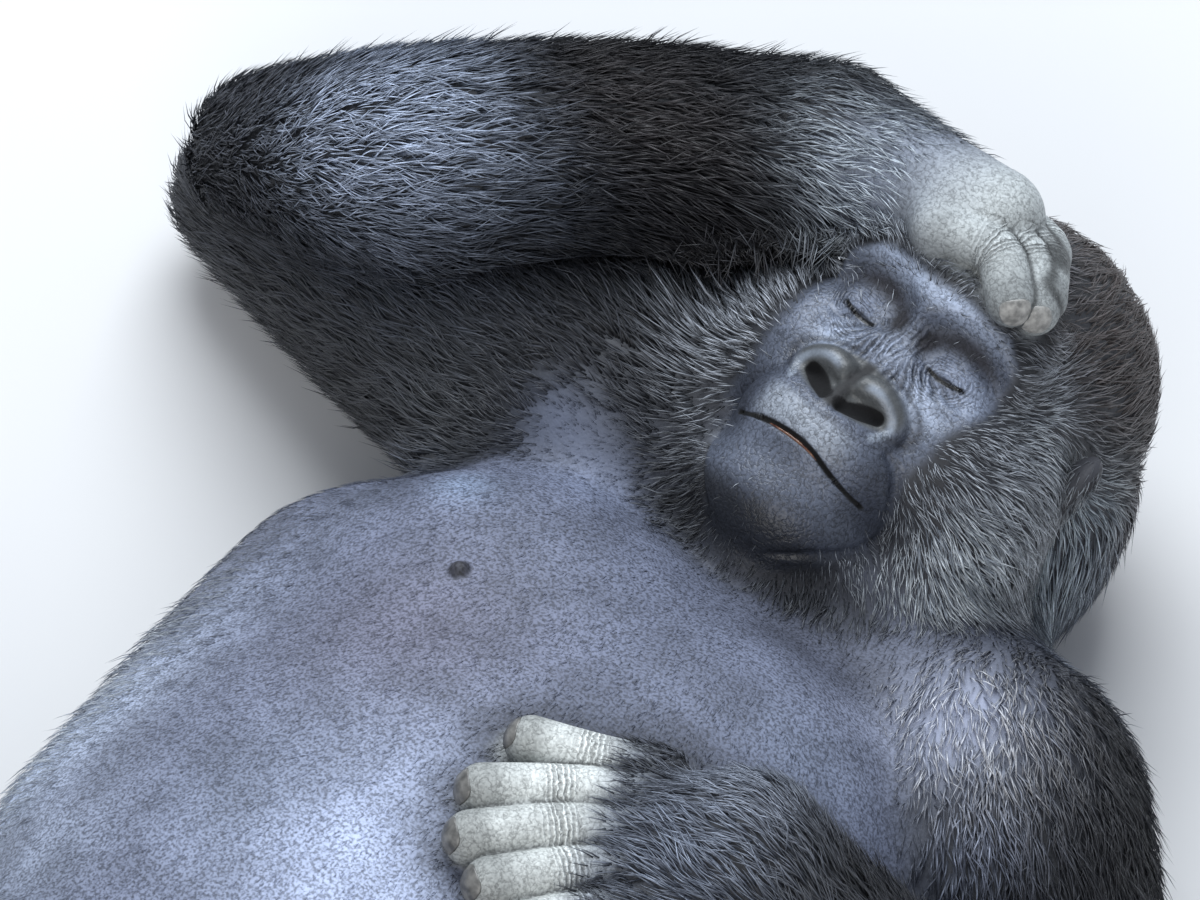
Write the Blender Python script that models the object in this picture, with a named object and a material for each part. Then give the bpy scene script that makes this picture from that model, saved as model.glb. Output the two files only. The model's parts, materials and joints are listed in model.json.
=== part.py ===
"""A young adult gorilla asleep on its back, as a still, life-size model.

The right arm is thrown up beside the head with the hand on the brow, the left hand lies on the belly, the
knees are bent and the feet stand flat.  Metres, +Z up, head towards +Y, the animal's left towards +X.

The body is a field of distances: capsules along the bones and ellipsoids for the masses of muscle, run
together by a smooth minimum.  The field's zero surface becomes a mesh, which is thinned to facets, cut flat
where it rests on the floor, and parted at the joints by thin cuts.
"""
import math

import bmesh
import bpy
import numpy as np
from mathutils import Matrix, Vector

# ---------------------------------------------------------------- driving sizes, in metres
# Joint centres.  R is the animal's right side, at -X; L is its left side, at +X.
SHOULDER_R = (-0.145, -0.005, 0.165)
ARM_MID_R = (-0.310, 0.002, 0.112)
ELBOW_R = (-0.500, 0.015, 0.070)
FOREARM_ROOT_R = (-0.478, 0.020, 0.125)
FOREARM_BULK_R = (-0.350, 0.034, 0.222)
FOREARM_MID_R = (-0.245, 0.103, 0.272)
WRIST_R = (-0.133, 0.172, 0.306)
KNUCKLES_R = (-0.010, 0.192, 0.330)
SHOULDER_L = (0.206, -0.021, 0.140)
ELBOW_L = (0.478, -0.245, 0.090)
FOREARM_BULK_L = (0.378, -0.240, 0.185)
WRIST_L = (0.210, -0.246, 0.310)
KNUCKLES_L = (0.160, -0.276, 0.298)
HIP_R, HIP_L = (-0.040, -0.620, 0.130), (0.170, -0.620, 0.130)
KNEE_R, KNEE_L = (-0.200, -0.800, 0.350), (0.360, -0.790, 0.330)
ANKLE_R, ANKLE_L = (-0.140, -1.010, 0.090), (0.340, -1.010, 0.090)

# The head's own frame: origin midway between the eyes, x to the animal's left, y to the crown, z out.
EYES = (0.005, 0.1005, 0.300)
HEAD_YAW, HEAD_ROLL, HEAD_PITCH = 2.5, 4.2, 24.5   # degrees about z, y and x
EYE_SPACING = 0.070
EYEBALL = 0.0115                                   # radius of the ball
EYE_DEPTH = 0.0135                                 # its centre behind the lids
LID_SLIT = (0.0125, 0.0011, 0.020)                 # half sizes of the slit between the lids
EAR_AT = (0.110, 0.002, -0.096)

FLOOR = 0.0
BOX_MIDDLE = (0.006, -0.465)    # plan centre of the body's box: it becomes the origin
JOINT_GAP = 0.0006              # width of the cuts that part the body
REST_GAP = 0.0004               # between a limb and the flesh that it lies on
MERGE = 0.00003                 # points nearer than this become one
FINGER_PRESS = 0.80             # a finger's height above the flesh, of its radius

BODY_STEP, HEAD_STEP, ARM_STEP, FOOT_STEP, EAR_STEP = 0.010, 0.004, 0.005, 0.005, 0.0025
BODY_FACES, HEAD_FACES, ARM_FACES, FOOT_FACES, EAR_FACES = 1950, 1640, 850, 420, 120

COAT = (0.030, 0.028, 0.030, 1.0)
FACE = (0.060, 0.060, 0.070, 1.0)
BARE = (0.210, 0.200, 0.195, 1.0)
CHEST = (0.100, 0.100, 0.120, 1.0)
EYE = (0.060, 0.030, 0.015, 1.0)


# ---------------------------------------------------------------- the field
def turn(axis, degrees):
    """3x3 rotation about a world axis."""
    return np.array(Matrix.Rotation(math.radians(degrees), 3, axis))


HEAD_AXES = (turn("Z", HEAD_YAW) @ turn("Y", HEAD_ROLL) @ turn("X", HEAD_PITCH)).T


def in_head(x, y, z):
    """World place of a point of the head's own frame."""
    return np.array(EYES) + np.array([x, y, z]) @ HEAD_AXES


class Field:
    """Signed distances on a grid of points: negative inside the body."""

    def __init__(self, low, high, step):
        self.low = np.array(low, float)
        self.step = step
        self.count = np.ceil((np.array(high) - self.low) / step).astype(int) + 1
        self.value = np.full(self.count, 1.0, np.float32)

    def window(self, low, high):
        """The slices and the coordinates of the grid points between two corners."""
        first = np.clip(np.floor((low - self.low) / self.step).astype(int), 0, self.count)
        last = np.clip(np.ceil((high - self.low) / self.step).astype(int) + 1, 0, self.count)
        x, y, z = (self.low[i] + self.step * np.arange(first[i], last[i]) for i in range(3))
        slices = tuple(slice(a, b) for a, b in zip(first, last))
        return slices, (x[:, None, None], y[None, :, None], z[None, None, :])

    def merge(self, shape, blend, carve=False):
        """Joins a shape to the field, or carves it out, with a fillet about as wide as blend."""
        low, high, distance = shape
        slices, points = self.window(low - blend - 0.03, high + blend + 0.03)
        old = self.value[slices]
        if old.size:
            new = distance(points).astype(np.float32)
            self.value[slices] = -smooth_min(-old, new, blend) if carve else smooth_min(old, new, blend)

    def at(self, point):
        """The distance at one point, between its eight grid neighbours."""
        place = (np.array(point) - self.low) / self.step
        i, j, k = np.floor(place).astype(int)
        u, v, w = place - (i, j, k)
        cell = self.value[i:i + 2, j:j + 2, k:k + 2]
        along_x = cell[0] * (1 - u) + cell[1] * u
        along_y = along_x[0] * (1 - v) + along_x[1] * v
        return along_y[0] * (1 - w) + along_y[1] * w


def smooth_min(a, b, blend):
    """The smaller of two distances, rounded over where they differ by less than blend."""
    near = np.maximum(blend - np.abs(a - b), 0) / blend
    return np.minimum(a, b) - near * near * blend * 0.25


def limb(start, end, start_radius, end_radius):
    """A capsule whose radius runs evenly from one end to the other."""
    a, b = np.array(start, float), np.array(end, float)
    along = b - a
    low = np.minimum(a - start_radius, b - end_radius)
    high = np.maximum(a + start_radius, b + end_radius)

    def distance(points):
        offset = [points[i] - a[i] for i in range(3)]
        share = np.clip(sum(offset[i] * along[i] for i in range(3)) / (along @ along), 0, 1)
        gap = np.sqrt(sum((offset[i] - share * along[i]) ** 2 for i in range(3)))
        return gap - (start_radius + (end_radius - start_radius) * share)
    return low, high, distance


def chain(points, radii, pieces=5):
    """A limb through several joints: short capsules along a smooth curve (Catmull-Rom) through them."""
    knots = np.column_stack([np.array(points, float), radii])
    knots = np.vstack([2 * knots[0] - knots[1], knots, 2 * knots[-1] - knots[-2]])
    curve = []
    for p0, p1, p2, p3 in zip(knots, knots[1:], knots[2:], knots[3:]):
        for t in np.arange(pieces) / pieces:
            straight = 2 * p1 + (p2 - p0) * t
            bend = (2 * p0 - 5 * p1 + 4 * p2 - p3) * t ** 2 + (3 * p1 - p0 - 3 * p2 + p3) * t ** 3
            curve.append((straight + bend) / 2)
    curve.append(knots[-2])
    limbs = [limb(a[:3], b[:3], a[3], b[3]) for a, b in zip(curve, curve[1:])]
    low = np.min([part[0] for part in limbs], axis=0)
    high = np.max([part[1] for part in limbs], axis=0)
    return low, high, lambda points: np.minimum.reduce([part[2](points) for part in limbs])


def mass(centre, radii, axes=np.eye(3)):
    """An ellipsoid; axes' rows are the directions of its radii."""
    centre, radii = np.array(centre, float), np.array(radii, float)
    reach = np.sqrt(((axes * radii[:, None]) ** 2).sum(0))

    def distance(points):
        offset = [points[i] - centre[i] for i in range(3)]
        local = [sum(offset[i] * axes[row, i] for i in range(3)) for row in range(3)]
        inner = np.sqrt(sum((local[i] / radii[i]) ** 2 for i in range(3)))
        slope = np.sqrt(sum((local[i] / radii[i] ** 2) ** 2 for i in range(3))) + 1e-9
        return inner * (inner - 1) / slope
    return centre - reach, centre + reach, distance


def head_mass(centre, radii, lean=0.0):
    """An ellipsoid in the head's frame, leant about the head's own z axis."""
    return mass(in_head(*centre), radii, turn("Z", lean).T @ HEAD_AXES)


def head_limb(start, end, start_radius, end_radius):
    """A capsule in the head's frame."""
    return limb(in_head(*start), in_head(*end), start_radius, end_radius)


# ---------------------------------------------------------------- the animal, part by part
def shape_trunk(field):
    """Chest, belly, pelvis and breast muscles, then the neck, its slopes and the right shoulder, pushed up."""
    lean = turn("Y", -5.0).T
    field.merge(mass((0.030, -0.240, 0.150), (0.250, 0.200, 0.148), lean), 0.06)
    field.merge(mass((0.020, -0.100, 0.105), (0.215, 0.140, 0.100), lean), 0.05)
    field.merge(limb((-0.100, -0.005, 0.110), (0.160, -0.020, 0.105), 0.100, 0.095), 0.05)
    field.merge(mass((0.070, -0.420, 0.165), (0.255, 0.260, 0.165)), 0.08)
    field.merge(limb((-0.165, -0.200, 0.110), (-0.125, -0.420, 0.130), 0.098, 0.085), 0.06)
    field.merge(mass((0.065, -0.650, 0.130), (0.205, 0.155, 0.138)), 0.08)
    field.merge(mass((-0.070, -0.175, 0.205), (0.105, 0.100, 0.075)), 0.05)
    field.merge(mass((0.125, -0.180, 0.200), (0.100, 0.100, 0.075)), 0.05)
    field.merge(limb((0.010, -0.010, 0.100), (0.0, 0.150, 0.100), 0.095, 0.100), 0.05)
    field.merge(limb((0.0, 0.100, 0.095), (0.161, -0.031, 0.110), 0.088, 0.068), 0.05)
    field.merge(limb((-0.020, 0.120, 0.095), (-0.145, 0.015, 0.145), 0.085, 0.080), 0.05)
    field.merge(limb((-0.255, 0.045, 0.115), (-0.168, 0.080, 0.135), 0.070, 0.072), 0.05)


def shape_upper_arms(field):
    """The right arm lies out to the side and up, the left one beside the trunk."""
    field.merge(chain((SHOULDER_R, ARM_MID_R, ELBOW_R), (0.100, 0.080, 0.054)), 0.05)
    arm_mid = (np.array(SHOULDER_L) + ELBOW_L) / 2
    field.merge(chain((SHOULDER_L, arm_mid, ELBOW_L), (0.096, 0.090, 0.068)), 0.05)
    deltoid = np.array(SHOULDER_L) + (0.032, -0.045, 0.0)
    field.merge(mass(deltoid, (0.092, 0.100, 0.092)), 0.04)


def shape_leg(field, hip, knee, ankle, side):
    """Thigh, calf and a foot with its heel, ball, four toes and a great toe that stands apart."""
    hip, knee, ankle = np.array(hip), np.array(knee), np.array(ankle)
    calf = knee + 0.4 * (ankle - knee) + (0.0, 0.016, 0.0)
    field.merge(limb(hip, knee, 0.125, 0.080), 0.06)
    field.merge(chain((knee, calf, ankle), (0.076, 0.074, 0.050)), 0.03)
    heel = ankle + (0.0, 0.030, -0.048)
    instep = ankle + (0.010 * side, -0.060, -0.050)
    forefoot = ankle + (0.024 * side, -0.128, -0.062)
    field.merge(chain((heel, instep, forefoot), (0.043, 0.042, 0.028)), 0.03)
    field.merge(mass(forefoot, (0.048, 0.046, 0.027)), 0.02)
    for toe in range(4):
        root = forefoot + ((0.0215 * toe - 0.030) * side, -0.028 + 0.006 * toe, -0.004)
        knuckle = root + (0.003 * (toe - 1) * side, -0.032, 0.001)
        tip = knuckle + (0.003 * (toe - 1) * side, -0.027 + 0.003 * toe, -0.010)
        field.merge(chain((root, knuckle, tip), (0.0145, 0.0135, 0.0125)), 0.006)
    root = instep + (-0.018 * side, -0.004, -0.016)
    knuckle = root + (-0.038 * side, -0.036, 0.0)
    tip = knuckle + (-0.012 * side, -0.042, -0.004)
    field.merge(chain((root, knuckle, tip), (0.024, 0.018, 0.0165)), 0.012)


def shape_head(field):
    """Skull, crown and nape, then brow, cheeks, jowls, muzzle, chin, throat and nose."""
    field.merge(head_mass((0, 0.026, -0.098), (0.092, 0.086, 0.100)), 0.03)
    field.merge(head_mass((0, 0.050, -0.125), (0.076, 0.082, 0.082)), 0.04)
    field.merge(head_mass((0.004, 0.028, -0.175), (0.108, 0.112, 0.095)), 0.04)
    field.merge(mass((0.010, 0.160, 0.085), (0.100, 0.110, 0.088)), 0.04)
    for side in (-1, 1):
        field.merge(head_limb((0, 0.022, -0.007), (0.050 * side, 0.020, -0.008), 0.019, 0.018), 0.022)
        field.merge(head_mass((0.056 * side, -0.033, -0.034), (0.036, 0.046, 0.040)), 0.020)
        field.merge(head_mass((0.082 * side, -0.062, -0.078), (0.048, 0.080, 0.062)), 0.030)
    field.merge(head_mass((0, -0.078, -0.022), (0.058, 0.044, 0.054)), 0.022)
    field.merge(head_mass((0, -0.126, -0.030), (0.052, 0.046, 0.050)), 0.022)
    field.merge(head_mass((0, -0.135, -0.080), (0.098, 0.060, 0.060)), 0.030)
    for side in (-1, 1):
        field.merge(head_limb((0, -0.158, -0.040), (0.062 * side, -0.140, -0.066), 0.036, 0.036), 0.020)


def shape_features(field):
    """The small forms of the face: nose wings, nostrils, lids, the line of the mouth and the bridge."""
    field.merge(head_limb((0, 0.006, -0.006), (0, -0.030, 0.010), 0.010, 0.013), 0.014)
    for side in (-1, 1):
        field.merge(head_mass((0.021 * side, -0.046, 0.012), (0.020, 0.022, 0.017), 20 * side), 0.010)
        field.merge(head_mass((EYE_SPACING / 2 * side, 0.0, -EYE_DEPTH), (0.019, 0.015, 0.0145)), 0.006)
        field.merge(head_mass((0.016 * side, -0.052, 0.029), (0.008, 0.0085, 0.012)), 0.004, carve=True)
        corner, middle = (0.049 * side, -0.097, 0.022), (0, -0.0885, 0.040)
        field.merge(head_limb(corner, middle, 0.0030, 0.0045), 0.008, carve=True)


def shape_ear(field, side):
    """A small ear: a flat oval standing off the side of the head, hollowed on its outer face."""
    x, y, z = EAR_AT
    stand = turn("Y", 28.0 * side) @ turn("X", 12.0)
    axes = stand.T @ HEAD_AXES
    field.merge(mass(in_head(x * side, y, z), (0.0120, 0.027, 0.020), axes), 0.004)
    field.merge(mass(in_head((x + 0.010) * side, y, z + 0.003), (0.0065, 0.016, 0.010), axes), 0.004, carve=True)


def settle(body, x, y, lift):
    """The point over (x, y) that stands clear of the body by lift."""
    z = 0.45
    while body.at((x, y, z)) > lift and z > 0.02:
        z -= 0.001
    return np.array([x, y, z])


def shape_digit(field, body, root, heading, bend, lengths, radius):
    """A finger that lies on the body: each joint is dropped on to it.  heading is in degrees from +X."""
    place = np.array(root, float)
    joints = [settle(body, *place, radius * FINGER_PRESS)]
    for length in lengths:
        place = place + length * np.array([math.cos(math.radians(heading)), math.sin(math.radians(heading))])
        joints.append(settle(body, *place, radius * FINGER_PRESS))
        heading += bend
    thickness = radius * np.linspace(1.0, 0.92, len(joints))
    field.merge(chain(joints, thickness, 3), 0.010)


def shape_right_forearm(field, body):
    """Forearm laid over the upper arm, the hand on the brow with its fingers curled over the crown."""
    bones = (FOREARM_ROOT_R, FOREARM_BULK_R, FOREARM_MID_R, WRIST_R, KNUCKLES_R)
    field.merge(chain(bones, (0.062, 0.079, 0.070, 0.052, 0.032)), 0.02)
    lengths = ((0.040, 0.034), (0.050, 0.038), (0.052, 0.036), (0.046, 0.030))
    for finger in range(4):
        root = (-0.022 - 0.002 * finger, 0.156 + 0.019 * finger)
        shape_digit(field, body, root, 16 - 7 * finger, -46, lengths[finger], 0.0148)


def shape_left_forearm(field, body):
    """Forearm rising from the elbow, the hand palm down on the belly."""
    elbow = np.array(ELBOW_L) + (0.006, 0.0, 0.004)
    field.merge(chain((elbow, FOREARM_BULK_L, WRIST_L, KNUCKLES_L), (0.082, 0.094, 0.052, 0.034)), 0.02)
    shape_digit(field, body, (0.138, -0.238), 218, -6, (0.044, 0.035), 0.0152)
    lengths = ((0.050, 0.043), (0.054, 0.050), (0.052, 0.046), (0.046, 0.040))
    for finger in range(4):
        root = (0.143 + 0.0185 * finger, -0.261 - 0.0135 * finger)
        shape_digit(field, body, root, 227 + 5.5 * finger, 4, lengths[finger], 0.0155)


# ---------------------------------------------------------------- from field to solid
def unpinched(value, step):
    """The grid with no face whose inside corners meet only across its diagonal, which would pinch the mesh."""
    value = value.copy()
    for attempt in range(8):
        found = False
        for a, b in ((0, 1), (1, 2), (0, 2)):
            size = np.array(value.shape)
            size[a] -= 1
            size[b] -= 1
            one_a, one_b = np.eye(3, dtype=int)[a], np.eye(3, dtype=int)[b]

            def corner(shift):
                return value[tuple(slice(o, o + n) for o, n in zip(shift, size))]
            v00, v10 = corner(0 * one_a), corner(one_a)
            v01, v11 = corner(one_b), corner(one_a + one_b)
            pinch = ((v00 < 0) == (v11 < 0)) & ((v10 < 0) == (v01 < 0)) & ((v00 < 0) != (v10 < 0))
            for place in np.argwhere(pinch):
                four = [place, place + one_a + one_b, place + one_a, place + one_b]
                outside = [tuple(p) for p in four if value[tuple(p)] >= 0]
                if outside:
                    value[min(outside, key=lambda p: value[p])] = -0.02 * step
                    found = True
        if not found:
            break
    return value


def surface(field):
    """Surface nets: one point in each grid cell that the zero surface crosses, one quad for each crossed edge."""
    value = unpinched(field.value, field.step)
    inside = value < 0
    nx, ny, nz = value.shape
    corners = [(i, j, k) for i in (0, 1) for j in (0, 1) for k in (0, 1)]
    count = sum(inside[i:nx - 1 + i, j:ny - 1 + j, k:nz - 1 + k].astype(np.uint8) for i, j, k in corners)
    active = (count > 0) & (count < 8)
    cells = np.argwhere(active)
    number = np.full(active.shape, -1, np.int64)
    number[active] = np.arange(len(cells))
    total, hits = np.zeros((len(cells), 3)), np.zeros(len(cells))
    at_corner = {c: value[tuple((cells + c).T)] for c in corners}
    for corner in corners:
        for axis in range(3):
            if corner[axis] == 0:
                step = np.eye(3, dtype=int)[axis]
                a, b = at_corner[corner], at_corner[tuple(np.array(corner) + step)]
                crossed = (a < 0) != (b < 0)
                share = np.where(crossed, a / np.where(crossed, a - b, 1), 0)
                total += (np.array(corner) + share[:, None] * step) * crossed[:, None]
                hits += crossed
    points = field.low + (cells + total / hits[:, None]) * field.step
    quads = []
    for axis in range(3):
        u, w = (axis + 1) % 3, (axis + 2) % 3
        near, far = [slice(None)] * 3, [slice(None)] * 3
        near[axis], far[axis] = slice(0, -1), slice(1, None)
        edges = np.argwhere(inside[tuple(near)] != inside[tuple(far)])
        edges = edges[(edges[:, u] > 0) & (edges[:, w] > 0)]
        edges = edges[(edges[:, u] < value.shape[u] - 1) & (edges[:, w] < value.shape[w] - 1)]
        ring = []
        for du, dw in ((0, 0), (1, 0), (1, 1), (0, 1)):
            cell = edges.copy()
            cell[:, u] -= du
            cell[:, w] -= dw
            ring.append(number[tuple(cell.T)])
        quad = np.stack(ring, 1)
        leaving = inside[tuple(edges.T)]
        quad[~leaving] = quad[~leaving][:, ::-1]
        quads.append(quad)
    return points, np.concatenate(quads)


def new_object(name, mesh):
    """An object of that mesh, linked to the scene."""
    made = bpy.data.objects.new(name, mesh)
    bpy.context.scene.collection.objects.link(made)
    return made


def evaluated(source):
    """A new mesh of the object with its modifiers applied."""
    graph = bpy.context.evaluated_depsgraph_get()
    graph.update()
    return bpy.data.meshes.new_from_object(source.evaluated_get(graph), depsgraph=graph)


def drop(thing):
    """Removes a working object."""
    bpy.data.objects.remove(thing)


def facets(field, triangles):
    """The field's surface, thinned to about that many triangles, its largest shell only."""
    points, quads = surface(field)
    mesh = bpy.data.meshes.new("facets")
    mesh.from_pydata(points.tolist(), [], quads.tolist())
    source = new_object("facets", mesh)
    thin = source.modifiers.new("thin", "DECIMATE")
    thin.ratio = min(1.0, triangles / (2 * len(quads)))
    thinned = evaluated(source)
    drop(source)
    return shells(thinned)[0]


def shells(mesh):
    """The separate closed shells of a mesh as new meshes, the one with most faces first."""
    work = bmesh.new()
    work.from_mesh(mesh)
    bmesh.ops.triangulate(work, faces=work.faces[:])
    work.verts.ensure_lookup_table()
    shell_of = {}
    groups = []
    for start in work.verts:
        if start.index in shell_of:
            continue
        shell_of[start.index] = len(groups)
        waiting, members = [start], []
        while waiting:
            vert = waiting.pop()
            members.append(vert)
            for edge in vert.link_edges:
                other = edge.other_vert(vert)
                if other.index not in shell_of:
                    shell_of[other.index] = len(groups)
                    waiting.append(other)
        groups.append(members)
    made = []
    for members in groups:
        index = {vert: i for i, vert in enumerate(members)}
        faces = {face for vert in members for face in vert.link_faces}
        if len(faces) < 12:
            continue
        piece = bpy.data.meshes.new("shell")
        ordered = sorted(faces, key=lambda face: face.index)
        piece.from_pydata([v.co[:] for v in members], [], [[index[v] for v in f.verts] for f in ordered])
        made.append(piece)
    work.free()
    return sorted(made, key=lambda piece: -len(piece.polygons))


def cut_plane(mesh, point, normal):
    """Keeps what lies behind the plane and closes the cut with flat faces."""
    work = bmesh.new()
    work.from_mesh(mesh)
    everything = work.verts[:] + work.edges[:] + work.faces[:]
    bmesh.ops.bisect_plane(work, geom=everything, plane_co=point, plane_no=normal, clear_outer=True, dist=1e-6)
    rim = [edge for edge in work.edges if edge.is_boundary]
    bmesh.ops.holes_fill(work, edges=rim, sides=0)
    bmesh.ops.triangulate(work, faces=work.faces[:], ngon_method="EAR_CLIP")
    bmesh.ops.recalc_face_normals(work, faces=work.faces[:])
    work.to_mesh(mesh)
    work.free()
    return mesh


def tidied(mesh):
    """Merges points that all but coincide after a cut, and removes the faces that this flattens."""
    work = bmesh.new()
    work.from_mesh(mesh)
    bmesh.ops.triangulate(work, faces=work.faces[:])
    bmesh.ops.remove_doubles(work, verts=work.verts[:], dist=MERGE)
    bmesh.ops.dissolve_degenerate(work, edges=work.edges[:], dist=MERGE)
    bmesh.ops.triangulate(work, faces=work.faces[:])
    work.to_mesh(mesh)
    work.free()
    return mesh


def combine(mesh, other, operation):
    """The mesh DIFFERENCE the other one, or its INTERSECT with it."""
    source, tool = new_object("source", mesh), new_object("tool", other)
    work = source.modifiers.new("work", "BOOLEAN")
    work.operation = operation
    work.solver = "EXACT"
    work.object = tool
    result = evaluated(source)
    drop(source)
    drop(tool)
    return tidied(result)


def slab(point, normal, across, half_width, half_height):
    """A thin box that parts the body at a joint: across is a direction that lies in the cut."""
    normal = Vector(normal).normalized()
    across = Vector(across)
    across = (across - across.dot(normal) * normal).normalized()
    height = normal.cross(across)
    work = bmesh.new()
    bmesh.ops.create_cube(work, size=2.0)
    scale = Matrix.Diagonal((half_width, half_height, JOINT_GAP / 2, 1.0))
    place = Matrix((across, height, normal)).transposed().to_4x4()
    place.translation = Vector(point)
    bmesh.ops.transform(work, matrix=place @ scale, verts=work.verts[:])
    mesh = bpy.data.meshes.new("slab")
    work.to_mesh(mesh)
    work.free()
    return mesh


def grown(mesh, by):
    """A copy of the mesh with each point moved out along its normal."""
    copy = mesh.copy()
    count = len(copy.vertices)
    places, normals = np.zeros(count * 3), np.zeros(count * 3)
    copy.vertices.foreach_get("co", places)
    copy.vertex_normals.foreach_get("vector", normals)
    copy.vertices.foreach_set("co", places + normals * by)
    return copy


def ball(centre, radii, axes, segments=20, rings=12):
    """A faceted ellipsoid with its radii along the rows of axes."""
    work = bmesh.new()
    bmesh.ops.create_uvsphere(work, u_segments=segments, v_segments=rings, radius=1.0)
    place = Matrix(axes.T.tolist()).to_4x4()
    place.translation = Vector(centre)
    scale = Matrix.Diagonal((*radii, 1.0))
    bmesh.ops.transform(work, matrix=place @ scale, verts=work.verts[:])
    mesh = bpy.data.meshes.new("ball")
    work.to_mesh(mesh)
    work.free()
    return mesh


def middle_of(mesh):
    """The mean of a mesh's points."""
    places = np.zeros(len(mesh.vertices) * 3)
    mesh.vertices.foreach_get("co", places)
    return places.reshape(-1, 3).mean(0)


def nearest(pieces, place):
    """The piece whose middle is nearest to a place."""
    return min(pieces, key=lambda piece: np.linalg.norm(middle_of(piece) - np.array(place)))


def finish(name, mesh, colour, roughness):
    """The finished node, moved so that the origin is under the middle of the body's box."""
    mesh.transform(Matrix.Translation((-BOX_MIDDLE[0], -BOX_MIDDLE[1], 0.0)))
    mesh.name = name
    node = new_object(name, mesh)
    mesh.shade_smooth()
    mesh.set_sharp_from_angle(angle=math.radians(50))
    material = bpy.data.materials.new(name)
    material.use_nodes = True
    shader = material.node_tree.nodes["Principled BSDF"]
    shader.inputs["Base Color"].default_value = colour
    shader.inputs["Roughness"].default_value = roughness
    shader.inputs["Metallic"].default_value = 0.0
    mesh.materials.clear()
    mesh.materials.append(material)
    return node


# ---------------------------------------------------------------- the cuts that part the body
NECK_BALL, NECK_RADIUS = (0.000, 0.140, 0.100), 0.150
NECK_TOP = in_head(0.0, -0.060, -0.165)
NECK_TOP_NORMAL = (0.0, 0.90, 0.44)
THIGH_SHARE = 0.42              # how far down the thigh the hip's cut lies
ANKLE_SHARE = 0.86              # how far down the shank the ankle's cut lies
HIP_CUT, KNEE_CUT, ANKLE_CUT = 0.22, 0.18, 0.085   # half widths of those cuts
CUT_HEIGHT = 0.30               # half height of the cuts through the trunk
# Each of these: a point, the normal, a direction that lies in the cut, half width and half height.
WAIST_CUT = ((0.070, -0.500, 0.15), (0, 1, 0), (1, 0, 0), 0.40, CUT_HEIGHT)
SHOULDER_CUT_R = ((-0.235, 0.0, 0.10), (-0.907, 0.42, 0), (0, 1, 0), 0.190, CUT_HEIGHT)
SHOULDER_CUT_L = ((0.245, -0.095, 0.12), (0.90, 0.44, 0), (-0.44, 0.90, 0), 0.250, CUT_HEIGHT)
WRIST_CUT_R = ((-0.105, 0.176, 0.310), (0.90, 0.15, 0.17), (0, 0, 1), 0.09, 0.09)
WRIST_CUT_L = ((0.204, -0.250, 0.306), (-0.80, -0.48, -0.10), (0, 0, 1), 0.09, 0.09)


def across_limb(start, end, share, half):
    """A cut square to a limb, part of the way along it."""
    start, end = Vector(start), Vector(end)
    return start.lerp(end, share), end - start, (0, 0, 1), half, half


def at_bend(before, bend, after, half):
    """A cut through a bent joint, halving the angle."""
    before, bend, after = Vector(before), Vector(bend), Vector(after)
    return bend, (bend - before).normalized() + (after - bend).normalized(), (1, 0, 0), half, half


def joint_cuts():
    """Every cut through the trunk and the limbs that are one surface with it."""
    cuts = [WAIST_CUT, SHOULDER_CUT_R, SHOULDER_CUT_L]
    for hip, knee, ankle in ((HIP_R, KNEE_R, ANKLE_R), (HIP_L, KNEE_L, ANKLE_L)):
        cuts.append(across_limb(hip, knee, THIGH_SHARE, HIP_CUT))
        cuts.append(at_bend(hip, knee, ankle, KNEE_CUT))
        cuts.append(across_limb(knee, ankle, ANKLE_SHARE, ANKLE_CUT))
    return cuts


# ---------------------------------------------------------------- the parts
BODY_BOX = (-0.66, -1.35, -0.05), (0.66, 0.42, 0.48)
RIGHT_ARM_BOX = (-0.60, -0.12, 0.0), (0.14, 0.32, 0.42)
LEFT_ARM_BOX = (0.0, -0.46, -0.02), (0.62, -0.10, 0.42)
HEAD_BELOW, HEAD_ABOVE = (0.20, 0.24, 0.35), (0.20, 0.30, 0.12)    # the head's box about the eyes
FOOT_BELOW, FOOT_ABOVE = (0.14, 0.30, 0.14), (0.14, 0.12, 0.13)    # a foot's box about its ankle
EAR_BOX = 0.05                                                     # half the side of an ear's box
DOWN = (0, 0, -1)
# A place inside each of the pieces that the cuts leave, to know it by.
PIECES = {
    "chest": (0.03, -0.2, 0.15), "abdomen": (0.07, -0.6, 0.12),
    "upper_arm_right": ARM_MID_R, "upper_arm_left": (0.36, -0.15, 0.11),
    "thigh_right": (-0.14, -0.73, 0.26), "thigh_left": (0.28, -0.73, 0.25),
    "shank_right": (-0.17, -0.9, 0.22), "shank_left": (0.35, -0.9, 0.22),
}


def make_body(field):
    """Trunk, neck, upper arms and legs: one thinned surface, flat on the floor, ending inside the head."""
    whole = cut_plane(facets(field, BODY_FACES), (0, 0, FLOOR), DOWN)
    return cut_plane(whole, NECK_TOP, NECK_TOP_NORMAL)


def part_body(whole):
    """The neck is what lies in a ball, and the rest is parted by the cuts."""
    smooth = 32, 16
    neck = combine(whole, ball(NECK_BALL, [NECK_RADIUS] * 3, np.eye(3), *smooth), "INTERSECT")
    finish("neck", shells(neck)[0], COAT, 0.8)
    torso = combine(whole, ball(NECK_BALL, [NECK_RADIUS + JOINT_GAP] * 3, np.eye(3), *smooth), "DIFFERENCE")
    for cut in joint_cuts():
        torso = combine(torso, slab(*cut), "DIFFERENCE")
    pieces = shells(torso)
    for name, place in PIECES.items():
        piece = nearest(pieces, place)
        pieces.remove(piece)
        finish(name, piece, CHEST if name == "chest" else COAT, 0.8)


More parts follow.
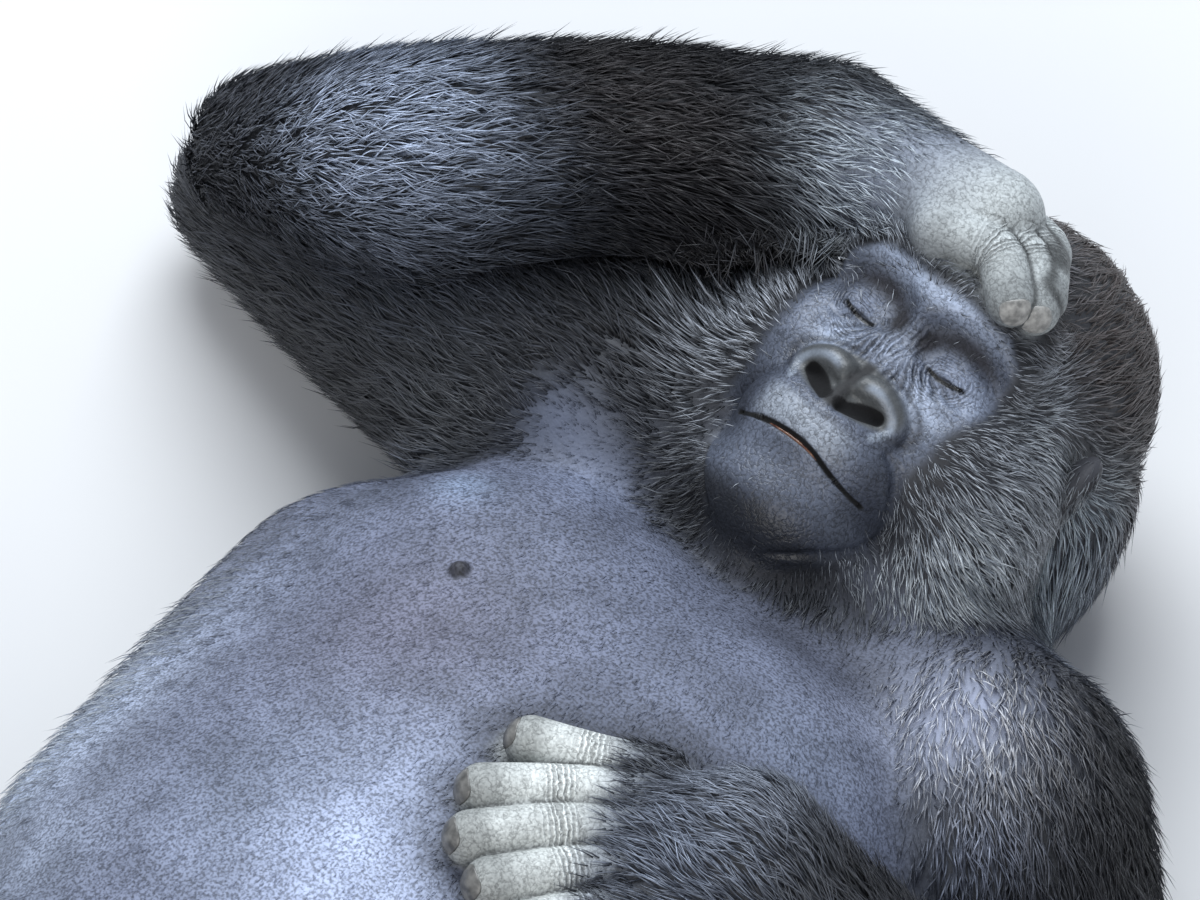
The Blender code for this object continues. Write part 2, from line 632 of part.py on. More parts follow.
def make_head(flesh):
    """The head with its sockets and slits, where the eyes go in, and the eyes."""
    skull = Field(np.array(EYES) - HEAD_BELOW, np.array(EYES) + HEAD_ABOVE, HEAD_STEP)
    shape_head(skull)
    shape_features(skull)
    head = cut_plane(facets(skull, HEAD_FACES), (0, 0, FLOOR), DOWN)
    head = shells(combine(head, flesh, "DIFFERENCE"))[0]
    for side, name in ((-1, "eye_right"), (1, "eye_left")):
        centre = in_head(EYE_SPACING / 2 * side, 0, -EYE_DEPTH)
        socket = ball(centre, [EYEBALL + REST_GAP] * 3, HEAD_AXES, 12, 8)
        slit = ball(centre, LID_SLIT, HEAD_AXES, 12, 6)
        head = combine(combine(head, socket, "DIFFERENCE"), slit, "DIFFERENCE")
        finish(name, ball(centre, [EYEBALL] * 3, HEAD_AXES, 12, 8), EYE, 0.15)
    return shells(head)[0]


def make_ears(skin):
    """Both ears, cut where they meet the head."""
    for side, name in ((-1, "ear_right"), (1, "ear_left")):
        centre = in_head(EAR_AT[0] * side, *EAR_AT[1:])
        ear = Field(centre - EAR_BOX, centre + EAR_BOX, EAR_STEP)
        shape_ear(ear, side)
        ear = combine(facets(ear, EAR_FACES), skin, "DIFFERENCE")
        finish(name, shells(ear)[0], FACE, 0.6)


def make_arm(box, shape, body, rests_on, wrist, bulk, knuckles, side):
    """A forearm and its hand, cut clear of what they rest on and parted at the wrist."""
    field = Field(*box, ARM_STEP)
    shape(field, body)
    arm = cut_plane(facets(field, ARM_FACES), (0, 0, FLOOR), DOWN)
    for under in rests_on:
        arm = combine(arm, under, "DIFFERENCE")
    pieces = shells(combine(shells(arm)[0], slab(*wrist), "DIFFERENCE"))[:2]
    finish("forearm_" + side, nearest(pieces, bulk), COAT, 0.8)
    finish("hand_" + side, nearest(pieces, knuckles), BARE, 0.7)


def make_foot(hip, knee, ankle, side, name):
    """A foot on a finer grid than the leg's, for its toes."""
    field = Field(np.array(ankle) - FOOT_BELOW, np.array(ankle) + FOOT_ABOVE, FOOT_STEP)
    shape_leg(field, hip, knee, ankle, side)
    up = (Vector(knee) - Vector(ankle)).normalized()
    top = Vector(knee).lerp(Vector(ankle), ANKLE_SHARE) - up * JOINT_GAP
    foot = cut_plane(facets(field, FOOT_FACES), top, up)
    finish(name, cut_plane(foot, (0, 0, FLOOR), DOWN), BARE, 0.7)


def main():
    for old in list(bpy.data.objects):
        bpy.data.objects.remove(old)

    body = Field(*BODY_BOX, BODY_STEP)
    shape_trunk(body)
    shape_upper_arms(body)
    shape_leg(body, HIP_R, KNEE_R, ANKLE_R, -1)
    shape_leg(body, HIP_L, KNEE_L, ANKLE_L, 1)
    whole = make_body(body)
    shape_head(body)            # from here on the field has the head too: the fingers settle on it

    flesh = grown(whole, REST_GAP)
    part_body(whole)
    head = make_head(flesh)
    skin = grown(head, REST_GAP)
    make_ears(skin)
    make_arm(RIGHT_ARM_BOX, shape_right_forearm, body, (flesh, skin), WRIST_CUT_R, FOREARM_BULK_R, KNUCKLES_R,
             "right")
    make_arm(LEFT_ARM_BOX, shape_left_forearm, body, (flesh,), WRIST_CUT_L, FOREARM_BULK_L, KNUCKLES_L, "left")
    make_foot(HIP_R, KNEE_R, ANKLE_R, -1, "foot_right")
    make_foot(HIP_L, KNEE_L, ANKLE_L, 1, "foot_left")
    finish("head", head, FACE, 0.5)


main()
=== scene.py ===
# %% [markdown]
# # A gorilla asleep on its back
#
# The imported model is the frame: plain solids that say where each part of the animal is, out to the tips of
# its coat.  This lesson makes the looks.  One skin replaces the solids, and over it lies a coat of many
# thousand small tufts.  Both come from one description of the body as a field of distances, so they fit
# each other everywhere.

# %% Load the frame
import json
import math
from functools import reduce

import bpy
import numpy as np
from mathutils import Matrix, Vector

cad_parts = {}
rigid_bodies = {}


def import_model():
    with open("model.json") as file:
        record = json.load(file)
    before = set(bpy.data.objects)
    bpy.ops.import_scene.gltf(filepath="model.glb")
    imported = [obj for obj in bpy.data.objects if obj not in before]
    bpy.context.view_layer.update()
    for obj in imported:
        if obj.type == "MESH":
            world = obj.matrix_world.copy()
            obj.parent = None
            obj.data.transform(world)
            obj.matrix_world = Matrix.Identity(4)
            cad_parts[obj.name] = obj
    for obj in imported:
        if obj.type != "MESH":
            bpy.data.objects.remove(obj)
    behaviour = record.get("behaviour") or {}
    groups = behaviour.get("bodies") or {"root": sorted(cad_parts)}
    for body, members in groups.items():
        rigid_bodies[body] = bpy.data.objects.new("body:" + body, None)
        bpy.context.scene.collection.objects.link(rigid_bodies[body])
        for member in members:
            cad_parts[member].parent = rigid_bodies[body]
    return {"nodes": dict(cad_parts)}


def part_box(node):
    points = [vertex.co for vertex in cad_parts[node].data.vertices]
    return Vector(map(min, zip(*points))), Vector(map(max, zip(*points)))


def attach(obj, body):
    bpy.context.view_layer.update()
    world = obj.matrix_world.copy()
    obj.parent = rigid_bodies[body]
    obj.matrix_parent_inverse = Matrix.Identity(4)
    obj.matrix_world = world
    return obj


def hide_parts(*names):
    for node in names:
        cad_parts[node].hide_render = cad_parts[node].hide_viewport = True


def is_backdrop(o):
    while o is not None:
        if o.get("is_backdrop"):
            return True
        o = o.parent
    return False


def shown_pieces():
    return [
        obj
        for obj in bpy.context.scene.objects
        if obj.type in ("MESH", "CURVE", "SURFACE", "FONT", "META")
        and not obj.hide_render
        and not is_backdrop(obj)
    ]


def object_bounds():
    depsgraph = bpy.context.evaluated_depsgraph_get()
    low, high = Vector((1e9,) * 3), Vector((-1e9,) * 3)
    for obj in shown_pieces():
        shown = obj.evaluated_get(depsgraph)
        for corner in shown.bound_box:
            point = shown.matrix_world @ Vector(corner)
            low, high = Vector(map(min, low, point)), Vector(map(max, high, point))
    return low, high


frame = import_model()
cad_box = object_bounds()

chance = np.random.default_rng(11)
print("CAD box", [round(v, 3) for corner in cad_box for v in corner], len(frame["nodes"]), "nodes")

# %% [markdown]
# The animal is seen from above its belly, a little from its right, with a long lens from six metres, as
# someone standing over a low wall would see it.  A point to look at, two angles and a distance place the
# camera.

# %% Camera
AIM = np.array([-0.130, 0.432, 0.196])
AZIMUTH, ELEVATION, DISTANCE = math.radians(45.5), math.radians(53.0), 6.0
LENS = 291.6


def placed(name, data):
    """A new object of that data, in the scene."""
    made = bpy.data.objects.new(name, data)
    bpy.context.scene.collection.objects.link(made)
    return made


camera = placed("camera", bpy.data.cameras.new("camera"))
bpy.context.scene.camera = camera
backwards = Vector((math.sin(AZIMUTH) * math.cos(ELEVATION), -math.cos(AZIMUTH) * math.cos(ELEVATION),
                    math.sin(ELEVATION)))
camera.location = Vector(AIM) + backwards * DISTANCE
camera.rotation_mode = "QUATERNION"
camera.rotation_quaternion = (-backwards).to_track_quat("-Z", "Y")
camera.data.lens = LENS
camera.data.sensor_width = 36.0
camera.data.clip_start, camera.data.clip_end = 0.1, 50.0
print("camera at", [round(v, 3) for v in camera.location])

# %% [markdown]
# ## Measures
# The joints are named places, in metres, with +Z up and the head towards +Y.  They are measured from a
# point of the trunk and not from the model's origin, so one shift, read from the eye nodes of the frame,
# brings the finished meshes to their place.

# %% Joints and the head's own frame
SHOULDER_R, ARM_MID_R, ELBOW_R = (-0.145, -0.005, 0.165), (-0.310, 0.002, 0.112), (-0.500, 0.015, 0.070)
FOREARM_R = ((-0.478, 0.020, 0.125), (-0.350, 0.034, 0.222), (-0.245, 0.103, 0.272))
WRIST_R, KNUCKLES_R = (-0.133, 0.172, 0.306), (-0.010, 0.192, 0.330)
SHOULDER_L, ELBOW_L = (0.206, -0.021, 0.140), (0.478, -0.245, 0.090)
FOREARM_L = (0.378, -0.240, 0.185)
WRIST_L, KNUCKLES_L = (0.210, -0.246, 0.310), (0.160, -0.276, 0.298)
HIP_R, KNEE_R, ANKLE_R = (-0.040, -0.620, 0.130), (-0.200, -0.800, 0.350), (-0.140, -1.010, 0.090)
HIP_L, KNEE_L, ANKLE_L = (0.170, -0.620, 0.130), (0.360, -0.790, 0.330), (0.340, -1.010, 0.090)

EYES = np.array([0.005, 0.1005, 0.300])
EYE_SPACING, EYEBALL, EYE_DEPTH = 0.070, 0.0115, 0.0135
EAR_AT = (0.110, 0.002, -0.096)


def unit(vectors):
    """A vector, or each row of many, scaled to length one."""
    return vectors / np.maximum(np.linalg.norm(vectors, axis=-1, keepdims=True), 1e-9)


def turn(axis, degrees):
    """3x3 rotation about a world axis."""
    return np.array(Matrix.Rotation(math.radians(degrees), 3, axis))


HEAD_AXES = (turn("Z", 2.5) @ turn("Y", 4.2) @ turn("X", 24.5)).T


def in_head(x, y, z):
    """World place of a point of the head's own frame: x to its left, y to the crown, z out of the face."""
    return EYES + np.array([x, y, z]) @ HEAD_AXES


def of_head(points):
    """Each world point in the head's own frame."""
    return (points - EYES) @ HEAD_AXES.T


eye_boxes = [np.array(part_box(name)).mean(0) for name in ("eye_left", "eye_right")]
SHIFT = np.mean(eye_boxes, axis=0) - in_head(0, 0, -EYE_DEPTH)
print("shift to the frame", SHIFT.round(4))

# %% [markdown]
# ## The body as distances
# A limb is a capsule: the distance to a line, less a radius that changes along it.  A muscle is an
# ellipsoid. Two distances run together by a smooth minimum, which rounds the crease between them over a
# chosen width.  The same list of forms is later read on a grid, to find the skin, and at single points, to
# lay the coat on it.

# %% Capsules, ellipsoids and their list
PARTS = ["chest", "belly", "neck", "head", "ear", "arm_r", "forearm_r", "hand_r", "arm_l", "forearm_l",
         "hand_l", "thigh_r", "shank_r", "foot_r", "thigh_l", "shank_l", "foot_l"]
forms = []      # part, lowest corner, highest corner, distance, blend, carve


def limb(start, end, start_radius, end_radius):
    """Distance to the segment, less a radius that runs evenly from one end to the other."""
    a, b = np.array(start, float), np.array(end, float)
    along = b - a
    length = along @ along + 1e-12
    low, high = np.minimum(a - start_radius, b - end_radius), np.maximum(a + start_radius, b + end_radius)

    def distance(points):
        offset = [points[i] - a[i] for i in range(3)]
        share = np.clip((offset[0] * along[0] + offset[1] * along[1] + offset[2] * along[2]) / length, 0, 1)
        gap = sum((offset[i] - share * along[i]) ** 2 for i in range(3))
        return np.sqrt(gap) - (start_radius + (end_radius - start_radius) * share)
    return low, high, distance


def curve_through(points, radii, pieces=5):
    """Points and radii on the Catmull-Rom curve through the given ones, pieces steps to each span."""
    knots = np.column_stack([np.array(points, float), radii])
    knots = np.vstack([2 * knots[0] - knots[1], knots, 2 * knots[-1] - knots[-2]])
    t = (np.arange(pieces) / pieces)[:, None]
    spans = [(2 * b + (c - a) * t + (2 * a - 5 * b + 4 * c - d) * t ** 2
              + (3 * b - a - 3 * c + d) * t ** 3) / 2
             for a, b, c, d in zip(knots, knots[1:], knots[2:], knots[3:])]
    return np.vstack([*spans, knots[-2]])


def chain(points, radii, pieces=5):
    """A bent limb: capsules along the curve through its joints."""
    curve = curve_through(points, radii, pieces)
    links = [limb(a[:3], b[:3], a[3], b[3]) for a, b in zip(curve, curve[1:])]
    low, high = np.min([link[0] for link in links], axis=0), np.max([link[1] for link in links], axis=0)
    return low, high, lambda points: np.minimum.reduce([link[2](points) for link in links])


def mass(centre, radii, axes=np.eye(3)):
    """An ellipsoid: k(k-1)/|grad k|, with k the distance in units of its radii, along the rows of axes."""
    centre, radii = np.array(centre, float), np.array(radii, float)
    reach = np.sqrt(((axes * radii[:, None]) ** 2).sum(0))

    def distance(points):
        offset = [points[i] - centre[i] for i in range(3)]
        local = [sum(offset[i] * axes[row, i] for i in range(3)) for row in range(3)]
        inner = np.sqrt(sum((local[i] / radii[i]) ** 2 for i in range(3)))
        slope = np.sqrt(sum((local[i] / radii[i] ** 2) ** 2 for i in range(3))) + 1e-9
        return inner * (inner - 1) / slope
    return centre - reach, centre + reach, distance


sample = limb((0, 0, 0), (1, 0, 0), 0.01, 0.01)[2]((0.5, 0.03, 0.0))
print("30 mm from the axis of a capsule of radius 10 mm:", sample.round(4), "m")

# %% [markdown]
# The head is turned and leant back, so its forms are given in its own frame.  Joining is a smooth minimum;
# carving is the same minimum with the signs turned round.

# %% Forms of the head, and joining them
def head_mass(centre, radii, lean=0.0):
    """An ellipsoid in the head's frame, leant about the head's z axis."""
    return mass(in_head(*centre), radii, turn("Z", lean).T @ HEAD_AXES)


def head_limb(start, end, start_radius, end_radius):
    """A capsule in the head's frame."""
    return limb(in_head(*start), in_head(*end), start_radius, end_radius)


def head_chain(points, radii):
    """A bent limb in the head's frame."""
    return chain([in_head(*p) for p in points], radii, 4)


def form(part, shape, blend, carve=False):
    """Adds a shape to the body's list: joined to what is there, or carved out of it."""
    forms.append((PARTS.index(part), *shape, blend, carve))


def smooth_min(a, b, blend):
    """The smaller of a and b, less a quarter of blend where they are equal and nothing once blend apart."""
    near = np.maximum(blend - np.abs(a - b), 0) / blend
    return np.minimum(a, b) - near * near * blend * 0.25


def merged(old, new, blend, carve):
    """The body's distance with one more form, joined to it or carved out of it."""
    return -smooth_min(-old, new, blend) if carve else smooth_min(old, new, blend)


def nearest(shapes, points):
    """The distance from each point to the nearest of the shapes."""
    return np.min([distance(points.T) for _, _, distance in shapes], axis=0)


def rows_of(*names):
    """The places of those parts in the list."""
    return [PARTS.index(name) for name in names]


print(len(PARTS), "parts")

# %% [markdown]
# The distance at scattered points: each form changes only the points near its own box.  The same pass keeps
# each point's distance to every part, from which come soft weights, and with them every change of coat and
# colour.

# %% Distances at points
REACH = 0.03                # how far round a form's box its distance still counts
WEIGHT_WIDTH = 0.012        # how far one part's share runs into the next
GRADIENT_STEP = 0.0004


def field_at(points, parts=False):
    """The merged distance at each point, and on request the distance to each part."""
    value = np.full(len(points), 1.0)
    apart = np.full((len(PARTS), len(points)), 0.5) if parts else None
    low_all, high_all = points.min(0), points.max(0)
    for part, low, high, distance, blend, carve in forms:
        low, high = low - blend - REACH, high + blend + REACH
        if np.any(low > high_all) or np.any(high < low_all):
            continue
        near = np.flatnonzero(np.all((points > low) & (points < high), axis=1))
        if len(near) == 0:
            continue
        new, old = distance(points[near].T), value[near]
        value[near] = merged(old, new, blend, carve)
        if parts and not carve:
            apart[part, near] = np.minimum(apart[part, near], new)
    on_floor = floor_level(points[:, 1]) - points[:, 2]
    value = -smooth_min(-value, -on_floor, 0.004)
    return (value, apart) if parts else value


def slope_at(points):
    """The field's gradient by forward differences, and its value."""
    value = field_at(points)
    shifted = [field_at(points + GRADIENT_STEP * np.eye(3)[axis]) for axis in range(3)]
    return np.stack([(v - value) / GRADIENT_STEP for v in shifted], 1), value


def floor_level(y):
    """How far the skin stays above the floor: the depth of the pressed coat, almost none under the feet."""
    return 0.0008 + 0.0032 / (1 + np.exp(-(y + 0.86) / 0.01))


def part_weights(apart):
    """Soft shares of the parts at each point, which add up to one."""
    share = np.exp(-(apart - apart.min(0)) / WEIGHT_WIDTH)
    return share / share.sum(0)


# %% [markdown]
# ## The animal, part by part
# Each group below is a region of the body.  The skin lies inside the solids by the depth of the coat, so
# every furred form is built thinner by that depth, and the bare ones, such as the face, are not.

# %% Trunk, neck and upper arms
DEPTH = {"trunk": 0.003, "slopes": 0.006, "arm": 0.010, "forearm": 0.011, "leg": 0.009, "crown": 0.009,
         "cheek": 0.004, "nape": 0.010}


def add_trunk():
    """Chest, belly, pelvis, breast muscles and the slopes from the neck to the shoulders."""
    lean, coat, slope = turn("Y", -5.0).T, DEPTH["trunk"], DEPTH["slopes"]
    for part, centre, radii, axes, blend in (
            ("chest", (0.030, -0.240, 0.150), (0.250, 0.200, 0.148), lean, 0.06),
            ("chest", (0.020, -0.100, 0.105), (0.215, 0.140, 0.100), lean, 0.05),
            ("belly", (0.070, -0.420, 0.165), (0.255, 0.260, 0.165), np.eye(3), 0.08),
            ("belly", (0.065, -0.650, 0.130), (0.205, 0.155, 0.138), np.eye(3), 0.08),
            ("chest", (-0.070, -0.175, 0.205), (0.105, 0.100, 0.075), np.eye(3), 0.05),
            ("chest", (0.125, -0.180, 0.200), (0.100, 0.100, 0.075), np.eye(3), 0.05)):
        form(part, mass(centre, np.array(radii) - coat, axes), blend)
    for part, start, end, radii, thinner, blend in (
            ("chest", (-0.100, -0.005, 0.110), (0.160, -0.020, 0.105), (0.100, 0.095), coat, 0.05),
            ("chest", (-0.165, -0.200, 0.110), (-0.125, -0.420, 0.130), (0.098, 0.085), coat, 0.06),
            ("neck", (0.010, -0.010, 0.100), (0.0, 0.150, 0.100), (0.095, 0.100), slope, 0.05),
            ("neck", (0.0, 0.100, 0.095), (0.161, -0.031, 0.110), (0.088, 0.068), slope, 0.05),
            ("neck", (-0.020, 0.120, 0.095), (-0.145, 0.015, 0.145), (0.085, 0.080), slope, 0.05),
            ("arm_r", (-0.255, 0.045, 0.115), (-0.168, 0.080, 0.135), (0.070, 0.072), slope, 0.05)):
        form(part, limb(start, end, *(np.array(radii) - thinner)), blend)


def add_upper_arms():
    """The right arm lies out to the side and up, the left one beside the trunk with its shoulder muscle."""
    coat = DEPTH["arm"]
    form("arm_r", chain((SHOULDER_R, ARM_MID_R, ELBOW_R), np.array((0.100, 0.080, 0.054)) - coat, 10), 0.05)
    middle = (np.array(SHOULDER_L) + ELBOW_L) / 2
    form("arm_l", chain((SHOULDER_L, middle, ELBOW_L), np.array((0.096, 0.090, 0.068)) - coat), 0.05)
    muscle = np.array(SHOULDER_L) + (0.032, -0.045, 0.0)
    form("arm_l", mass(muscle, np.array((0.092, 0.100, 0.092)) - coat), 0.04)


add_trunk()
add_upper_arms()
print("trunk and upper arms:", len(forms), "forms")

# %% Legs and feet
# the digits' curves also place the painted shade in the creases between them
digits = []     # part, curve of points and radii, for creases and nails


def digit(part, joints, radii, blend):
    """A finger or toe, kept in a list too."""
    curve = curve_through(joints, radii, 4)
    digits.append((part, curve))
    form(part, chain(joints, radii, 4), blend)


def add_leg(hip, knee, ankle, side, s):
    """Thigh, calf, heel, ball, four toes and a great toe that stands apart like a thumb."""
    hip, knee, ankle = np.array(hip), np.array(knee), np.array(ankle)
    coat = DEPTH["leg"]
    calf = knee + 0.4 * (ankle - knee) + (0.0, 0.016, 0.0)
    form("thigh_" + s, limb(hip, knee, 0.125 - coat, 0.080 - coat), 0.06)
    form("shank_" + s, chain((knee, calf, ankle), np.array((0.076, 0.074, 0.046)) - coat), 0.03)
    heel, instep = ankle + (0.0, 0.030, -0.048), ankle + (0.010 * side, -0.060, -0.050)
    forefoot = ankle + (0.024 * side, -0.128, -0.062)
    form("foot_" + s, chain((heel, instep, forefoot), (0.043, 0.041, 0.028)), 0.03)
    form("foot_" + s, mass(forefoot, (0.048, 0.046, 0.027)), 0.02)
    for toe in range(4):
        root = forefoot + ((0.0215 * toe - 0.030) * side, -0.028 + 0.006 * toe, -0.004)
        knuckle = root + (0.003 * (toe - 1) * side, -0.032, 0.001)
        tip = knuckle + (0.003 * (toe - 1) * side, -0.027 + 0.003 * toe, -0.010)
        digit("foot_" + s, (root, knuckle, tip), (0.0135, 0.0130, 0.0120), 0.005)
    root = instep + (-0.018 * side, -0.004, -0.016)
    knuckle = root + (-0.038 * side, -0.036, 0.0)
    tip = knuckle + (-0.012 * side, -0.042, -0.004)
    digit("foot_" + s, (root, knuckle, tip), (0.024, 0.018, 0.016), 0.012)


add_leg(HIP_R, KNEE_R, ANKLE_R, -1, "r")
add_leg(HIP_L, KNEE_L, ANKLE_L, 1, "l")
print("with legs:", len(forms), "forms")

# %% [markdown]
# The head gets the most care.  A gorilla's brow is one bar across both eyes.  Below it the closed lids
# bulge in deep sockets, folds run from the root of the nose, the nose pad is a pair of thick rims round the
# nostrils, and the wide upper lip rests on the lower one with a thin wet line between them.

# %% Skull, jaw and throat
def add_skull():
    """Skull, crown and nape, then cheeks, jowls, muzzle, chin and throat."""
    crown, cheek, nape = DEPTH["crown"], DEPTH["cheek"], DEPTH["nape"]
    masses = [((0, 0.026, -0.098), (0.092, 0.086, 0.100), (crown, crown, 0.003), 0.03),
              ((0, 0.050, -0.125), (0.076, 0.082, 0.082), crown, 0.04),
              ((0.004, 0.028, -0.175), (0.108, 0.112, 0.095), nape, 0.04)]
    lower = [((-0.004, -0.077, -0.024), (0.061, 0.044, 0.060), 0, 0.018),
             ((-0.003, -0.122, -0.026), (0.058, 0.046, 0.056), 0, 0.016),
             ((0, -0.135, -0.080), (0.098, 0.060, 0.060), cheek, 0.030)]
    sides = [row for side in (-1, 1) for row in (
        ((0.056 * side, -0.033, -0.034), (0.036, 0.046, 0.040), 0.001, 0.020),
        ((0.082 * side, -0.062, -0.078), (0.048, 0.080, 0.062), cheek, 0.030))]
    for centre, radii, coat, blend in masses:
        form("head", head_mass(centre, np.array(radii) - coat), blend)
    form("head", mass((0.010, 0.160, 0.085), np.array((0.100, 0.110, 0.088)) - nape), 0.04)
    for centre, radii, coat, blend in sides + lower:
        form("head", head_mass(centre, np.array(radii) - coat), blend)
    for side in (-1, 1):
        form("head", head_limb((0, -0.158, -0.040), (0.062 * side, -0.140, -0.066), 0.034, 0.033), 0.020)


# %% Brow, sockets and lids
FACE_SEARCH = 0.070, -0.090, -0.0004       # heights from the front of the face down into the head


def on_face(rows, sink):
    """Places over (x, y) of the head's frame, sink below the highest point of what has been formed so far."""
    height = np.arange(*FACE_SEARCH)
    places = []
    for x, y in rows:
        column = np.column_stack([np.full_like(height, x), np.full_like(height, y), height])
        z = height[np.argmax(field_at(EYES + column @ HEAD_AXES) <= 0)]
        places.append((x, y, z - sink))
    return places


def add_brow():
    """One rounded bar across both eyes, the forehead behind it and the bridge of the nose."""
    for side in (-1, 1):
        bar = (0, 0.033, -0.006), (0.030 * side, 0.037, -0.0065), (0.058 * side, 0.026, -0.016)
        form("head", head_chain(bar, (0.0150, 0.0150, 0.0125)), 0.020)
        form("head", head_limb((0, 0.050, -0.026), (0.044 * side, 0.046, -0.030), 0.024, 0.020), 0.030)
        beside_nose = (0.016 * side, -0.014, -0.012), (0.026 * side, -0.030, -0.008)
        form("head", head_limb(*beside_nose, 0.0170, 0.0170), 0.014)
    form("head", head_limb((0, 0.018, -0.005), (-0.002, -0.028, 0.002), 0.0130, 0.0140), 0.020)


def add_eye(side):
    """A soft hollow under the brow, the closed lids over the ball, and the folds below them."""
    eye = EYE_SPACING / 2 * side
    hollow = ((0.0095 * side, 0.004, 0.0125), (0.016 * side, 0.0165, 0.010), (0.038 * side, 0.0240, 0.007),
              (0.057 * side, 0.0150, -0.003))
    form("head", head_chain(hollow, (0.0045, 0.0080, 0.0090, 0.0060)), 0.014, carve=True)
    form("head", head_mass((eye + 0.001 * side, 0.0020, -0.0135), (0.0230, 0.0165, 0.0160)), 0.007)
    below = (eye - 0.020 * side, -0.0080), (eye - 0.006 * side, -0.0170), (eye + 0.016 * side, -0.0165)
    form("head", head_chain(on_face(below, 0.0015), (0.0028, 0.0036, 0.0028)), 0.006)
    fold = (0.0075 * side, 0.001), (0.0130 * side, -0.010), (0.0240 * side, -0.023)
    form("head", head_chain(on_face(fold, 0.001), (0.0018, 0.0022, 0.0014)), 0.005)


# %% Nose pad, lips and chin
MIDLINE = -0.0035           # the nose and mouth sit a little to the right of the eyes' middle
RIM = ((0.0065, -0.0370, 0.0185, 0.0080), (0.020, -0.0350, 0.0165, 0.0082), (0.033, -0.0410, 0.0095, 0.0078),
       (0.0370, -0.0510, 0.0090, 0.0068), (0.032, -0.0600, 0.0165, 0.0048), (0.018, -0.0630, 0.0275, 0.0030),
       (0.006, -0.0650, 0.0330, 0.0026))
NOSTRIL = ((0.0055, -0.0555, 0.0284, 0.0042), (0.0150, -0.0515, 0.0232, 0.0056),
           (0.0258, -0.0478, 0.0164, 0.0044))
LIP_EDGE = ((0.0440, -0.0600), (0.0540, -0.0660), (0.0610, -0.0800), (0.0630, -0.0980), (0.0590, -0.1160),
            (0.0460, -0.1360), (0.0260, -0.1520))
MOUTH = ((-0.0550, -0.0950), (-0.0290, -0.0905), (-0.0040, -0.0880), (0.0110, -0.0890), (0.0270, -0.0930),
         (0.0470, -0.0945))

# gaps whose insides get painted shade: the nostrils, the mouth's line and the slits of the lids
carved = {"hole": [], "line": [], "slit": []}       # kept so that the marks can find them
# the tops of the nose's rolls get a painted highlight
nose_highlight_lines = []                                         # the tops of the nose's rolls, which shine


def add_nose(side):
    """A thick roll over the nostril, thin below it, round an opening that is carved long and low."""
    rim = [(MIDLINE + x * side, y, z) for x, y, z, _ in RIM]
    opening = [(MIDLINE + x * side, y, z) for x, y, z, _ in NOSTRIL]
    wide = np.array([row[3] for row in NOSTRIL])
    wing = MIDLINE + 0.019 * side, -0.047, 0.004
    form("head", head_mass(wing, (0.0200, 0.0180, 0.0150), 12 * side), 0.008)
    form("head", head_chain(rim, [row[3] for row in RIM]), 0.0035)
    carved["hole"].append(head_chain(opening, wide))
    form("head", carved["hole"][-1], 0.0030, carve=True)
    # the tops of the rolls, where a highlight is painted
    crest = [(x, y, z + 0.8 * row[3]) for (x, y, z), row in zip(rim[:5], RIM)]
    nose_highlight_lines.append(head_chain(crest, [0.0006] * len(crest)))


def add_face():
    """Brow, eyes, nose with its septum, and the crease round the muzzle."""
    add_brow()
    for side in (-1, 1):
        add_eye(side)
    for side in (-1, 1):
        edge = on_face([(MIDLINE + x * side, y) for x, y in LIP_EDGE], -0.0004)
        widths = 0.0010, 0.0022, 0.0028, 0.0028, 0.0024, 0.0018, 0.0008
        form("head", head_chain(edge, widths), 0.005, carve=True)
        add_nose(side)
    form("head", head_limb((MIDLINE, -0.045, 0.0225), (MIDLINE, -0.066, 0.0320), 0.0042, 0.0034), 0.004)
    form("head", head_chain(((MIDLINE, -0.023, 0.0190), (MIDLINE, -0.033, 0.0270), (MIDLINE, -0.042, 0.0310)),
                            (0.0020, 0.0040, 0.0020)), 0.006, carve=True)


print("nose rim of", len(RIM), "points, lip edge of", len(LIP_EDGE))

# %% Slits and ears
def add_slits():
    """The narrow lines between the lids and between the lips, carved last."""
    for side in (-1, 1):
        eye = EYE_SPACING / 2 * side
        slit = (eye - 0.0120 * side, -0.0040), (eye + 0.0005 * side, -0.0030), (eye + 0.0130 * side, -0.0015)
        carved["slit"].append(head_chain(on_face(slit, 0.0), (0.0009, 0.0016, 0.0009)))
        form("head", carved["slit"][-1], 0.0012, carve=True)
    widths = 0.0009, 0.0015, 0.0018, 0.0015, 0.0012, 0.0007
    carved["line"].append(head_chain(on_face(MOUTH, 0.0), widths))
    form("head", carved["line"][-1], 0.0022, carve=True)


def add_ear(side):
    """A small ear: an oval standing off the head, hollowed on its outer face inside a rolled rim."""
    x, y, z = EAR_AT
    stand = (turn("Y", 28.0 * side) @ turn("X", 12.0)).T @ HEAD_AXES
    for out, up, forward, radii, carve in (
            (0.0, 0.0, 0.0, (0.0110, 0.0260, 0.0190), False),
            (0.0090, 0.0, 0.003, (0.0070, 0.0175, 0.0115), True),
            (0.0010, -0.003, 0.001, (0.0065, 0.0080, 0.0045), False)):
        form("ear", mass(in_head((x + out) * side, y + up, z + forward), radii, stand), 0.003, carve)


add_skull()
add_face()
for side in (-1, 1):
    add_ear(side)
print("with the head:", len(forms), "forms")

# %% [markdown]
# A hand rests on what is under it, so its fingers are laid rather than placed: each finger joint is dropped
# from above until it lies on the field of the body, pressed in a little.

# %% Forearms and hands
FINGER_PRESS = 0.80         # a finger's axis lies this share of its radius over the body
FINGER_R, THUMB_L, FINGER_L = 0.0158, 0.0162, 0.0170        # radii
DROP = 0.45, 0.02, -0.001   # heights that a finger is dropped through
NIPPLE = np.array([-0.068, -0.206, 0.290])


def settled(x, y, lift):
    """The highest point over (x, y) where the body is no nearer than lift."""
    heights = np.arange(*DROP)
    column = np.column_stack([np.full_like(heights, x), np.full_like(heights, y), heights])
    return column[np.argmax(field_at(column) <= lift)]


